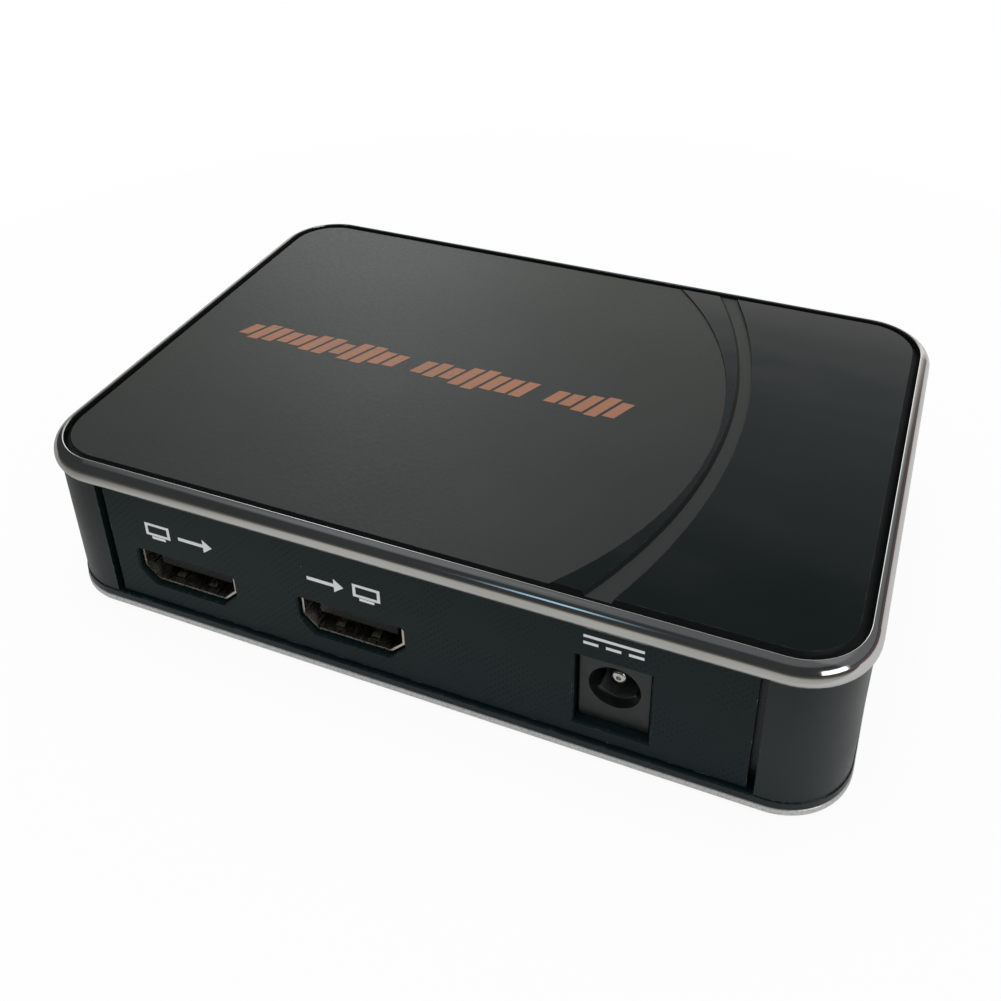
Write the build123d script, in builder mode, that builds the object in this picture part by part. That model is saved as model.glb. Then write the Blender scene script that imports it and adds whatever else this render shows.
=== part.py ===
from build123d import *

import os
from math import acos, atan, cos, degrees, radians, sin, sqrt

# Video capture box: a flat black case with a bright bead round the top and a
# thin bright band round the foot. Two picture sockets and a power jack are on
# one long side; a memory stick socket, a microphone jack, a lamp and a push
# button are on the other. Sizes are in millimetres. The origin is under the
# middle of the box, on the surface that it stands on. +X runs along the box,
# and -Y is the side with the picture sockets.

# Fits and cuts
cut_overrun = 1.0
trim_gap = 0.05
snug_gap = 0.03
screw_gap = 0.05

# Case outline and height
case_length = 110.0
case_width = 75.0
case_corner_radius = 9.4
foot_standing_height = 0.8
floor_thickness = 2.1
wall_height = 18.6
wall_thickness = 1.8
body_inset = 0.65
deck_lip_height = 1.55
deck_thickness = 1.6

# Bead round the top
bead_radius = 2.1
bead_inner_inset = 1.55
bead_crown_angle = 68.0

# Top cover with its sunken disc and crescent groove
cover_thickness = 1.9
cover_edge_chamfer = 1.1
disc_depth = 0.2
disc_slope_width = 0.12
disc_centre_x = -24.2
disc_centre_y = -1.9
disc_radius = 54.25
groove_depth = 0.4
groove_slope_width = 0.5
groove_inner_centre_x = -45.0
groove_inner_centre_y = -0.8
groove_inner_radius = 76.2
groove_outer_centre_x = -53.4
groove_outer_centre_y = -1.7
groove_outer_radius = 86.3

# Band round the foot
band_inset = 0.4
band_width = 1.6
band_height = 1.0
band_rise = 0.0
band_edge_radius = 0.2
flange_inset = 0.5
flange_edge_chamfer = 0.15

# End panels and the openings that they sit in
opening_end_inset = 10.65
opening_length = case_length - 2 * opening_end_inset
panel_side_gap = 0.95
panel_foot_gap = 0.3
panel_head_gap = 0.15
panel_thickness = 1.5
panel_recess = 0.35
panel_edge_chamfer = 0.2
panel_stop_depth = 1.2
panel_stop_reach = 1.95
panel_stop_root = 1.6

# Rubber feet
foot_radius = 5.0
foot_height = 1.6
foot_edge_radius = 0.4
foot_end_inset = 17.0
foot_side_inset = 14.5
foot_recess_gap = 0.1

# Case screws and the posts that take them
post_radius = 3.0
post_inset = 8.5
case_screw_radius = 1.25
case_screw_length = 8.0
case_screw_head_radius = 2.3
case_screw_head_height = 1.2
case_screw_recess_depth = 1.3
case_screw_recess_gap = 0.2
case_screw_pilot_depth = 10.0
slot_depth = 0.6
slot_width = 0.5
slot_length = 2.6

# Circuit board, its pillars and screws
board_end_gap = 12.5
board_side_gap = 4.0
board_thickness = 1.6
board_corner_radius = 1.5
pillar_height = 0.9
pillar_radius = 2.6
board_screw_end_inset = 3.5
board_screw_side_inset = 14.5
board_screw_radius = 1.0
board_screw_depth = 3.2
board_screw_hole_extra_depth = 0.3
board_screw_head_radius = 1.9
board_screw_head_height = 1.1
board_slot_length = 2.2

# Picture sockets
picture_output_inset = 22.8
picture_input_x = -7.5
picture_shell_width = 14.6
picture_shell_height = 5.1
picture_shell_side_height = 3.1
picture_shell_base_width = 10.6
picture_shell_corner_radius = 0.4
picture_shell_wall = 0.3
picture_shell_depth = 11.0
picture_shell_lift = 1.05
picture_socket_recess = 0.7
picture_cutout_gap = 0.28
picture_leg_length = 1.6
picture_leg_offset_front = 2.0
picture_leg_offset_back = 7.0
picture_tongue_width = 11.2
picture_tongue_thickness = 1.9
picture_tongue_setback = 1.5
picture_block_depth = 4.0
picture_upper_contact_count = 10
picture_lower_contact_count = 9
picture_contact_pitch = 1.0
picture_contact_width = 0.35
picture_contact_thickness = 0.15
picture_contact_setback = 0.5
picture_spring_offset = 2.55
picture_spring_width = 1.2
picture_spring_length = 4.6
picture_spring_setback = 0.85
picture_spring_rise = 0.55
picture_spring_thickness = 0.2
picture_spring_slit = 0.15
picture_spring_crest_share = 0.25

# Power jack
power_jack_x = 27.0
power_jack_width = 9.0
power_jack_height = 10.9
power_jack_depth = 14.0
power_jack_flange_depth = 3.5
power_jack_recess = 1.2
power_jack_bore_height = 6.1
power_jack_bore_radius = 3.2
power_jack_bore_depth = 11.5
power_jack_barrel_radius = 4.4
power_jack_edge_chamfer = 0.2
power_cutout_gap = 0.16
power_pin_radius = 1.05
power_pin_setback = 1.5
power_pin_tip_radius = 0.55
power_pin_dimple_radius = 0.32
power_pin_dimple_depth = 0.6
power_pin_shank_radius = 0.8
power_tail_width = 2.4
power_tail_thickness = 0.3
power_contact_thickness = 0.25
power_contact_setback = 1.5
power_contact_half_angle = 48.0
power_contact_tail_setback = 9.0
power_contact_tail_length = 1.8

# Memory stick socket
stick_socket_x = 27.0
stick_shell_width = 13.2
stick_shell_height = 5.8
stick_shell_wall = 0.3
stick_shell_depth = 14.0
stick_shell_corner_radius = 0.4
stick_socket_recess = 0.3
stick_cutout_gap = 0.25
stick_tongue_width = 11.1
stick_tongue_thickness = 1.8
stick_tongue_drop = 0.45
stick_tongue_setback = 1.0
stick_block_depth = 4.5
stick_contact_width = 1.0
stick_contact_thickness = 0.2
stick_contact_setback = 1.2
stick_contact_inner_offset = 1.0
stick_contact_outer_offset = 3.5

# Microphone jack
microphone_jack_x = 8.0
microphone_body_width = 6.5
microphone_body_height = 6.0
microphone_body_depth = 12.0
microphone_nose_radius = 3.0
microphone_nose_gap = 0.2
microphone_nose_recess = 0.2
microphone_bore_radius = 1.8
microphone_axis_height = 3.1
microphone_contact_thickness = 0.3
microphone_contact_length = 1.5
microphone_contact_shares = (0.25, 0.52, 0.78)
microphone_contact_gap = 0.15

# Record button and the switch behind it
button_x = -27.0
button_radius = 3.5
button_hole_gap = 0.2
button_proud = 0.8
button_edge_radius = 0.4
button_dish_radius = 2.4
button_dish_depth = 0.2
button_flange_radius = 4.5
button_flange_thickness = 0.8
button_rest_gap = 0.1
button_travel = 0.4
button_stem_radius = 1.5
switch_width = 6.2
switch_depth = 3.6
switch_height = 7.0
switch_setback = 3.1
switch_axis_height = 4.2
switch_corner_radius = 0.3
plunger_radius = 1.7
plunger_gap = 0.1
plunger_reach = 1.6
plunger_root = 0.8
plunger_spare = 0.1

# Lamp and its light pipe
lamp_x = -9.0
lamp_axis_height = 1.3
light_pipe_radius = 1.2
light_pipe_gap = 0.05
light_pipe_flange_radius = 1.9
light_pipe_flange_thickness = 0.6
lamp_width = 3.0
lamp_height = 2.2
lamp_depth = 1.4
lamp_setback = 1.2
lamp_gap = 0.2

# Chips on the board
capture_chip_size = 17.0
capture_chip_height = 1.4
capture_chip_x = 9.0
capture_chip_y = 5.0
chip_edge_chamfer = 0.2
pad_size = 15.0
pad_thickness = 0.5
sink_size = 20.0
sink_base_thickness = 1.5
sink_fin_height = 5.0
sink_fin_thickness = 0.8
sink_fin_count = 7
memory_chip_length = 12.5
memory_chip_width = 8.0
memory_chip_height = 1.0
memory_chip_x = -12.0
memory_chip_y = 8.0
memory_chip_pitch = 11.5
receiver_chip_size = 10.0
receiver_chip_height = 1.0
receiver_chip_x = -7.5
receiver_chip_gap = 4.8
transmitter_chip_size = 9.0
transmitter_chip_height = 1.0
transmitter_chip_offset = 2.2
transmitter_chip_gap = 8.3
flash_chip_length = 5.2
flash_chip_width = 4.0
flash_chip_height = 1.6
flash_chip_x = 27.0
flash_chip_setback = 9.2
chip_lead_length = 0.8
chip_lead_width = 0.4
chip_lead_height = 0.3
chip_lead_pitch = 1.27
chip_lead_count = 4

# Crystals, coils, capacitors and regulators on the board
crystal_length = 11.0
crystal_width = 4.6
crystal_height = 3.5
crystal_edge_radius = 0.2
crystal_y = 2.0
crystal_spacing = 54.0
crystal_count = 2
coil_size = 6.0
coil_height = 3.0
coil_corner_radius = 1.2
coil_inset = 5.5
coil_y = -7.0
coil_pitch = 9.0
coil_count = 2
can_radius = 3.15
can_height = 7.0
can_edge_radius = 0.5
can_base_size = 6.6
can_base_height = 1.0
can_base_chamfer = 1.2
can_x = 12.0
can_inset = 7.5
can_pitch = 8.6
can_count = 2
regulator_length = 6.5
regulator_width = 3.5
regulator_height = 1.6
regulator_tab_width = 3.0
regulator_tab_length = 1.6
regulator_tab_thickness = 0.3
regulator_x = 21.0
regulator_gap = 6.55
regulator_pitch = 10.0
regulator_count = 2
ceramic_length = 1.6
ceramic_width = 0.8
ceramic_height = 0.8
ceramic_spacing_x = 3.0
ceramic_column_count = 7
ceramic_row_count = 2
ceramic_spacing_y = 30.0

# Heights, from the surface up
floor_bottom = foot_standing_height
floor_top = floor_bottom + floor_thickness
band_bottom = floor_bottom + band_rise
band_top = band_bottom + band_height
wall_top = floor_top + wall_height
bead_seat_drop = sqrt(bead_radius**2 - (bead_radius - body_inset)**2)
bead_centre = wall_top + bead_seat_drop
deck_top = wall_top + deck_lip_height
deck_bottom = deck_top - deck_thickness
cover_top = deck_top + cover_thickness
board_bottom = floor_top + pillar_height
board_top = board_bottom + board_thickness

# Sizes that follow the case's length and width
board_length = case_length - 2 * board_end_gap
board_width = case_width - 2 * board_side_gap
picture_output_x = picture_output_inset - case_length / 2
coil_x = board_length / 2 - coil_inset
can_y = can_inset - board_width / 2

# Distances out from the middle to the faces on the long sides
body_face = case_width / 2 - body_inset
panel_face = body_face - panel_recess
panel_back = panel_face - panel_thickness
board_edge = board_width / 2

# Sizes that follow from the ones above
deck_inset = bead_inner_inset + trim_gap
plate_inset = band_inset + band_width + trim_gap
panel_length = opening_length - 2 * panel_side_gap
panel_bottom = floor_top + panel_foot_gap
panel_top = wall_top - panel_head_gap
panel_height = panel_top - panel_bottom
panel_centre_height = (panel_top + panel_bottom) / 2
foot_positions = GridLocations(case_length - 2 * foot_end_inset, case_width - 2 * foot_side_inset, 2, 2)
post_positions = GridLocations(case_length - 2 * post_inset, case_width - 2 * post_inset, 2, 2)
board_screw_positions = GridLocations(
    board_length - 2 * board_screw_end_inset,
    board_width - 2 * board_screw_side_inset,
    2,
    2,
)

os.makedirs("parts", exist_ok=True)


def save(builder, name):
    """Label one finished piece and write it under its own name."""
    builder.part.label = name
    export_step(builder.part, f"parts/{name}.step")


def case_outline(inset):
    """Draw the case outline, drawn in by the same inset on all sides."""
    RectangleRounded(case_length - 2 * inset, case_width - 2 * inset, case_corner_radius - inset)


def picture_outline(extra):
    """Draw the picture socket's outline, widest at the top, let out by a margin."""
    base = picture_shell_base_width / 2
    half = picture_shell_width / 2
    chamfer_top = picture_shell_height - picture_shell_side_height
    Polygon(
        (-base, 0),
        (base, 0),
        (half, chamfer_top),
        (half, picture_shell_height),
        (-half, picture_shell_height),
        (-half, chamfer_top),
        align=None,
    )
    fillet(vertices(), picture_shell_corner_radius)
    if extra:
        offset(amount=extra, mode=Mode.REPLACE)


# Main housing: the two short ends with their corners, joined by the deck
with BuildPart() as main_housing:
    with BuildSketch(Plane.XY.offset(floor_top)):
        case_outline(body_inset)
    extrude(amount=wall_height)
    with BuildSketch(Plane.XY.offset(wall_top)):
        case_outline(deck_inset)
    extrude(amount=deck_lip_height)
    with BuildSketch(Plane.XY.offset(floor_top)):
        case_outline(body_inset + wall_thickness)
    extrude(amount=deck_bottom - floor_top, mode=Mode.SUBTRACT)
    # Openings for the two end panels, up to the deck
    with BuildSketch(Plane.XY.offset(floor_top)):
        Rectangle(opening_length, case_width)
        Rectangle(opening_length, 2 * panel_back, mode=Mode.SUBTRACT)
    extrude(amount=wall_height, mode=Mode.SUBTRACT)
    # Stops behind the ends of each panel
    stop_inner = opening_length / 2 - panel_stop_reach
    stop_outer = opening_length / 2 + panel_stop_root
    stop_x = (stop_inner + stop_outer) / 2
    stop_y = panel_back - panel_stop_depth / 2
    root_depth = panel_stop_depth + panel_thickness / 2
    root_x = stop_outer - panel_stop_root / 2
    root_y = panel_back - panel_stop_depth + root_depth / 2
    with BuildSketch(Plane.XY.offset(floor_top)):
        for side_x in (-1, 1):
            for side_y in (-1, 1):
                with Locations((side_x * stop_x, side_y * stop_y)):
                    Rectangle(stop_outer - stop_inner, panel_stop_depth)
                with Locations((side_x * root_x, side_y * root_y)):
                    Rectangle(panel_stop_root, root_depth)
    extrude(amount=deck_bottom - floor_top)
    # Posts for the case screws
    with BuildSketch(Plane.XY.offset(floor_top)):
        with post_positions:
            Circle(post_radius)
    extrude(amount=deck_bottom - floor_top)
    with BuildSketch(Plane.XY.offset(floor_top)):
        with post_positions:
            Circle(case_screw_radius + screw_gap)
    extrude(amount=case_screw_pilot_depth, mode=Mode.SUBTRACT)
save(main_housing, "main_housing")

# Bright bead round the top, swept round the case
bead_base_angle = degrees(acos((bead_radius - body_inset) / bead_radius))
bead_crown_cos = cos(radians(bead_crown_angle))
bead_crown_sin = sin(radians(bead_crown_angle))
bead_roll_radius = (bead_inner_inset - bead_radius * (1 - bead_crown_cos)) / (1 + bead_crown_cos)
bead_roll_x = -bead_radius + (bead_radius - bead_roll_radius) * bead_crown_cos
bead_roll_y = (bead_radius - bead_roll_radius) * bead_crown_sin

with BuildPart() as top_trim_ring:
    with BuildLine(Plane.XY.offset(bead_centre)) as bead_path:
        half_x = case_length / 2
        half_y = case_width / 2
        FilletPolyline(
            (-half_x, -half_y),
            (half_x, -half_y),
            (half_x, half_y),
            (-half_x, half_y),
            radius=case_corner_radius,
            close=True,
        )
    bead_start = Vector(0, -half_y, bead_centre)
    with BuildSketch(Plane(bead_start, x_dir=(0, -1, 0), z_dir=(-1, 0, 0))) as bead_section:
        with BuildLine():
            bead_sweep = bead_base_angle + bead_crown_angle
            CenterArc((-bead_radius, 0), bead_radius, -bead_base_angle, bead_sweep)
            bead_roll_sweep = 180 - bead_crown_angle
            CenterArc((bead_roll_x, bead_roll_y), bead_roll_radius, bead_crown_angle, bead_roll_sweep)
            Polyline(
                (-bead_inner_inset, bead_roll_y),
                (-bead_inner_inset, -bead_seat_drop),
                (-body_inset, -bead_seat_drop),
            )
        make_face()
    sweep(sections=bead_section.sketch, path=bead_path.wires()[0])
save(top_trim_ring, "top_trim_ring")

# Tool for the sunken disc, which runs out through three sides of the cover
disc_slope_angle = degrees(atan(disc_slope_width / disc_depth))
with BuildPart() as disc_tool:
    with BuildSketch(Plane.XY.offset(cover_top - disc_depth)):
        with Locations((disc_centre_x, disc_centre_y)):
            Circle(disc_radius - disc_slope_width)
    extrude(amount=disc_depth, taper=-disc_slope_angle)
    extrude(disc_tool.faces().sort_by(Axis.Z)[-1], amount=cut_overrun)

# Tool for the crescent groove, whose inner side slopes down to the groove's floor
groove_slope_angle = degrees(atan(groove_slope_width / groove_depth))
with BuildPart() as groove_tool:
    with BuildSketch(Plane.XY.offset(cover_top - groove_depth)):
        with Locations((groove_outer_centre_x, groove_outer_centre_y)):
            Circle(groove_outer_radius)
    extrude(amount=groove_depth + cut_overrun)
    with BuildSketch(Plane.XY.offset(cover_top - groove_depth)):
        with Locations((groove_inner_centre_x, groove_inner_centre_y)):
            Circle(groove_inner_radius)
    extrude(amount=groove_depth + cut_overrun, taper=groove_slope_angle, mode=Mode.SUBTRACT)

# Top cover: a plate with a bevelled edge, a sunken disc and a crescent groove
with BuildPart() as top_cover:
    with BuildSketch(Plane.XY.offset(deck_top)):
        case_outline(deck_inset)
    extrude(amount=cover_thickness)
    chamfer(top_cover.edges().group_by(Axis.Z)[-1], cover_edge_chamfer)
    add(disc_tool.part, mode=Mode.SUBTRACT)
    add(groove_tool.part, mode=Mode.SUBTRACT)
save(top_cover, "top_cover")

# Bottom cover: the floor, with a flange above the bright band
with BuildPart() as bottom_cover:
    with BuildSketch(Plane.XY.offset(floor_bottom)):
        case_outline(plate_inset)
    extrude(amount=floor_thickness)
    with BuildSketch(Plane.XY.offset(band_top)):
        case_outline(flange_inset)
    extrude(amount=floor_top - band_top)
    chamfer(bottom_cover.edges().group_by(Axis.Z)[-1], flange_edge_chamfer)
    with BuildSketch(Plane.XY.offset(floor_top)):
        with board_screw_positions:
            Circle(pillar_radius)
    extrude(amount=pillar_height)
    with BuildSketch(Plane.XY.offset(board_bottom)):
        with board_screw_positions:
            Circle(board_screw_radius + screw_gap)
    extrude(
        amount=board_thickness - board_screw_depth - board_screw_hole_extra_depth,
        mode=Mode.SUBTRACT,
    )
    with BuildSketch(Plane.XY.offset(floor_bottom)):
        with post_positions:
            Circle(case_screw_radius + screw_gap)
    extrude(amount=floor_thickness, mode=Mode.SUBTRACT)
    with BuildSketch(Plane.XY.offset(floor_bottom)):
        with post_positions:
            Circle(case_screw_head_radius + case_screw_recess_gap)
    extrude(amount=case_screw_recess_depth, mode=Mode.SUBTRACT)
    with BuildSketch(Plane.XY.offset(floor_bottom)):
        with foot_positions:
            Circle(foot_radius + foot_recess_gap)
    extrude(amount=foot_height - foot_standing_height, mode=Mode.SUBTRACT)
save(bottom_cover, "bottom_cover")

# Bright band round the foot, under the flange
with BuildPart() as bottom_trim_band:
    with BuildSketch(Plane.XY.offset(band_bottom)):
        case_outline(band_inset)
    extrude(amount=band_height)
    fillet(bottom_trim_band.edges().group_by(Axis.Z)[0], band_edge_radius)
    fillet(bottom_trim_band.edges().group_by(Axis.Z)[-1], band_edge_radius)
    with BuildSketch(Plane.XY.offset(band_bottom)):
        case_outline(band_inset + band_width)
    extrude(amount=band_height, mode=Mode.SUBTRACT)
save(bottom_trim_band, "bottom_trim_band")

# Rubber feet, set into the floor
with BuildPart() as rubber_feet:
    with BuildSketch(Plane.XY):
        with foot_positions:
            Circle(foot_radius)
    extrude(amount=foot_height)
    fillet(rubber_feet.edges().group_by(Axis.Z)[0], foot_edge_radius)
save(rubber_feet, "rubber_feet")

# Case screws, driven up from below into the posts
screw_seat = floor_bottom + case_screw_recess_depth
with BuildPart() as case_screws:
    with BuildSketch(Plane.XY.offset(screw_seat)):
        with post_positions:
            Circle(case_screw_radius)
    extrude(amount=case_screw_length)
    with BuildSketch(Plane.XY.offset(screw_seat)):
        with post_positions:
            Circle(case_screw_head_radius)
    extrude(amount=-case_screw_head_height)
    with BuildSketch(Plane.XY.offset(screw_seat - case_screw_head_height)):
        with post_positions:
            Rectangle(slot_length, slot_width)
            Rectangle(slot_width, slot_length)
    extrude(amount=slot_depth, mode=Mode.SUBTRACT)
save(case_screws, "case_screws")

# Rear panel, with the cutouts for the picture sockets and the power jack
picture_base = board_top + picture_shell_lift
power_axis_height = board_top + power_jack_bore_height
power_jack_top = board_top + power_jack_height
rear_plane = Plane((0, -panel_face, 0), x_dir=(1, 0, 0), z_dir=(0, -1, 0))
with BuildPart() as rear_panel:
    with BuildSketch(rear_plane):
        with Locations((0, panel_centre_height)):
            Rectangle(panel_length, panel_height)
    extrude(amount=-panel_thickness)
    for socket_x in (picture_output_x, picture_input_x):
        socket_plane = Plane((socket_x, -panel_face, picture_base), x_dir=(1, 0, 0), z_dir=(0, -1, 0))
        with BuildSketch(socket_plane.offset(cut_overrun)):
            picture_outline(picture_cutout_gap)
        extrude(amount=-(panel_thickness + 2 * cut_overrun), mode=Mode.SUBTRACT)
    with BuildSketch(rear_plane.offset(cut_overrun)):
        with Locations((power_jack_x, (board_top + power_jack_top) / 2)):
            Rectangle(power_jack_width + 2 * power_cutout_gap, power_jack_height + 2 * power_cutout_gap)
    extrude(amount=-(panel_thickness + 2 * cut_overrun), mode=Mode.SUBTRACT)
    outer_rims = rear_panel.faces().sort_by(Axis.Y)[0].inner_wires().edges()
    chamfer(outer_rims, panel_edge_chamfer)
save(rear_panel, "rear_panel")

# Front panel, with the stick socket, microphone jack, lamp and button holes
stick_axis_height = board_top + stick_shell_height / 2
microphone_axis = board_top + microphone_axis_height
lamp_axis = board_top + lamp_axis_height
button_axis = board_top + switch_axis_height
front_plane = Plane((0, panel_face, 0), x_dir=(-1, 0, 0), z_dir=(0, 1, 0))
with BuildPart() as front_panel:
    with BuildSketch(front_plane):
        with Locations((0, panel_centre_height)):
            Rectangle(panel_length, panel_height)
    extrude(amount=-panel_thickness)
    with BuildSketch(front_plane.offset(cut_overrun)):
        with Locations((-stick_socket_x, stick_axis_height)):
            RectangleRounded(
                stick_shell_width + 2 * stick_cutout_gap,
                stick_shell_height + 2 * stick_cutout_gap,
                stick_shell_corner_radius + stick_cutout_gap,
            )
        with Locations((-microphone_jack_x, microphone_axis)):
            Circle(microphone_nose_radius + microphone_nose_gap)
        with Locations((-lamp_x, lamp_axis)):
            Circle(light_pipe_radius + light_pipe_gap)
        with Locations((-button_x, button_axis)):
            Circle(button_radius + button_hole_gap)
    extrude(amount=-(panel_thickness + 2 * cut_overrun), mode=Mode.SUBTRACT)
    outer_rims = front_panel.faces().sort_by(Axis.Y)[-1].inner_wires().edges()
    chamfer(outer_rims, panel_edge_chamfer)
save(front_panel, "front_panel")

# Circuit board, on the floor's pillars
with BuildPart() as main_board:
    with BuildSketch(Plane.XY.offset(board_bottom)):
        RectangleRounded(board_length, board_width, board_corner_radius)
        with board_screw_positions:
            Circle(board_screw_radius + 2 * screw_gap, mode=Mode.SUBTRACT)
    extrude(amount=board_thickness)
save(main_board, "main_board")

# Board screws, from above into the pillars
with BuildPart() as board_screws:
    with BuildSketch(Plane.XY.offset(board_top)):
        with board_screw_positions:
            Circle(board_screw_radius)
    extrude(amount=-board_screw_depth)
    with BuildSketch(Plane.XY.offset(board_top)):
        with board_screw_positions:
            Circle(board_screw_head_radius)
    extrude(amount=board_screw_head_height)
    with BuildSketch(Plane.XY.offset(board_top + board_screw_head_height)):
        with board_screw_positions:
            Rectangle(board_slot_length, slot_width)
            Rectangle(slot_width, board_slot_length)
    extrude(amount=-slot_depth, mode=Mode.SUBTRACT)
save(board_screws, "board_screws")

# Places shared by the two picture sockets
picture_front = -(panel_face - picture_socket_recess)
picture_back = picture_front + picture_shell_depth
picture_block_front = picture_back - picture_block_depth
picture_tongue_front = picture_front + picture_tongue_setback
picture_tongue_centre = picture_base + picture_shell_height / 2
picture_tail_back = picture_back + picture_contact_thickness
picture_rows = (
    (picture_upper_contact_count, picture_tongue_centre + picture_tongue_thickness / 2, 1),
    (picture_lower_contact_count, picture_tongue_centre - picture_tongue_thickness / 2, -1),
)


def picture_socket(name, socket_x):
    """Make one picture socket: its shell, its insulator and its contacts."""
    front_face = Plane((socket_x, picture_front, picture_base), x_dir=(1, 0, 0), z_dir=(0, -1, 0))
    half_width = picture_shell_width / 2
    with BuildPart() as shell:
        with BuildSketch(front_face):
            picture_outline(0)
        extrude(amount=-picture_shell_depth)
        with BuildSketch(front_face):
            picture_outline(-picture_shell_wall)
        extrude(amount=-picture_shell_depth, mode=Mode.SUBTRACT)
        # Legs that stand on the board
        for leg_offset in (picture_leg_offset_front, picture_leg_offset_back):
            leg_y = picture_front + leg_offset + picture_leg_length / 2
            with BuildSketch(Plane.XY.offset(board_top)):
                for side in (-1, 1):
                    with Locations((socket_x + side * (half_width - picture_shell_wall / 2), leg_y)):
                        Rectangle(picture_shell_wall, picture_leg_length)
            extrude(amount=picture_base + picture_shell_height / 2 - board_top)
        # Spring fingers, cut out of the top and bottom walls and bent inwards
        window_front = picture_front + picture_spring_setback
        window_back = window_front + picture_spring_length
        for wall_outer, inward in ((picture_base, 1), (picture_base + picture_shell_height, -1)):
            wall_inner = wall_outer + inward * picture_shell_wall
            for side in (-1, 1):
                finger_x = socket_x + side * picture_spring_offset
                with BuildSketch(Plane.XY.offset(wall_outer)):
                    with Locations((finger_x, (window_front + window_back) / 2)):
                        Rectangle(picture_spring_width + 2 * picture_spring_slit, picture_spring_length)
                extrude(amount=inward * picture_shell_wall, mode=Mode.SUBTRACT)
                finger_plane = Plane((finger_x, 0, 0), x_dir=(0, 1, 0), z_dir=(1, 0, 0))
                with BuildSketch(finger_plane):
                    with BuildLine():
                        tip_y = window_front + picture_spring_slit
                        crest_y = tip_y + picture_spring_crest_share * picture_spring_length
                        low = wall_inner - inward * picture_spring_thickness
                        crest = wall_inner + inward * picture_spring_rise
                        tip = wall_inner + inward * picture_spring_rise / 2
                        Polyline(
                            (window_back + picture_spring_slit, low),
                            (window_back - picture_spring_slit, low),
                            (crest_y, crest - inward * picture_spring_thickness),
                            (tip_y, tip - inward * picture_spring_thickness),
                            (tip_y, tip),
                            (crest_y, crest),
                            (window_back - picture_spring_slit, wall_inner),
                            (window_back + picture_spring_slit, wall_inner),
                            close=True,
                        )
                    make_face()
                extrude(amount=picture_spring_width / 2, both=True)
    save(shell, f"{name}_shell")

    with BuildPart() as contacts:
        for count, surface, direction in picture_rows:
            for index in range(count):
                contact_x = socket_x + (index - (count - 1) / 2) * picture_contact_pitch
                contact_plane = Plane((contact_x, 0, 0), x_dir=(0, 1, 0), z_dir=(1, 0, 0))
                blade_front = picture_tongue_front + picture_contact_setback
                outer = surface + direction * picture_contact_thickness
                highest = max(surface, outer)
                lowest = min(surface, outer)
                with BuildSketch(contact_plane):
                    with BuildLine():
                        Polyline(
                            (blade_front, lowest),
                            (picture_back, lowest),
                            (picture_back, board_top),
                            (picture_tail_back, board_top),
                            (picture_tail_back, highest),
                            (blade_front, highest),
                            close=True,
                        )
                    make_face()
                extrude(amount=picture_contact_width / 2, both=True)
    save(contacts, f"{name}_contacts")

    with BuildPart() as insulator:
        with BuildSketch(front_face.offset(-(picture_shell_depth - picture_block_depth))):
            picture_outline(-(picture_shell_wall + snug_gap))
        extrude(amount=-picture_block_depth)
        with BuildSketch(front_face.offset(-picture_tongue_setback)):
            with Locations((0, picture_shell_height / 2)):
                Rectangle(picture_tongue_width, picture_tongue_thickness)
        extrude(amount=-(picture_block_front - picture_tongue_front))
        # Slots in the block for the contacts
        for count, surface, direction in picture_rows:
            slot_height = picture_contact_thickness + snug_gap
            with BuildSketch(front_face.offset(-(picture_shell_depth - picture_block_depth))):
                slot_y = surface + direction * slot_height / 2 - picture_base
                with Locations((0, slot_y)):
                    with GridLocations(picture_contact_pitch, 0, count, 1):
                        Rectangle(picture_contact_width + 2 * snug_gap, slot_height)
            extrude(amount=-picture_block_depth, mode=Mode.SUBTRACT)
    save(insulator, f"{name}_insulator")


picture_socket("video_output", picture_output_x)
picture_socket("video_input", picture_input_x)

# Power jack: housing, centre pin and side contact
power_front = -(panel_face - power_jack_recess)
power_plane = Plane((power_jack_x, power_front, 0), x_dir=(1, 0, 0), z_dir=(0, -1, 0))
power_contact_outer = power_jack_bore_radius - snug_gap
power_contact_inner = power_contact_outer - power_contact_thickness
power_tail_y = power_front + power_contact_tail_setback + power_contact_tail_length / 2
with BuildPart() as power_jack_housing:
    with BuildSketch(power_plane):
        with Locations((0, board_top + power_jack_height / 2)):
            Rectangle(power_jack_width, power_jack_height)
    extrude(amount=-power_jack_flange_depth)
    with BuildSketch(power_plane):
        with Locations((0, power_axis_height)):
            Circle(power_jack_barrel_radius)
        with Locations((0, board_top + power_jack_bore_height / 2)):
            Rectangle(2 * power_jack_barrel_radius, power_jack_bore_height)
    extrude(amount=-power_jack_depth)
    with BuildSketch(power_plane):
        with Locations((0, power_axis_height)):
            Circle(power_jack_bore_radius)
    extrude(amount=-power_jack_bore_depth, mode=Mode.SUBTRACT)
    with BuildSketch(power_plane):
        with Locations((0, power_axis_height)):
            Circle(power_pin_shank_radius + snug_gap)
    extrude(amount=-power_jack_depth, mode=Mode.SUBTRACT)
    # Slot in the base for the side contact's tail
    with BuildSketch(Plane.XY.offset(board_top)):
        with Locations((power_jack_x, power_tail_y)):
            Rectangle(power_tail_width + 2 * snug_gap, power_contact_tail_length + 2 * snug_gap)
    extrude(amount=power_jack_bore_height, mode=Mode.SUBTRACT)
    chamfer(
        power_jack_housing.faces().sort_by(Axis.Y)[0].outer_wire().edges(),
        power_jack_edge_chamfer,
    )
save(power_jack_housing, "power_jack_housing")

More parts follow.
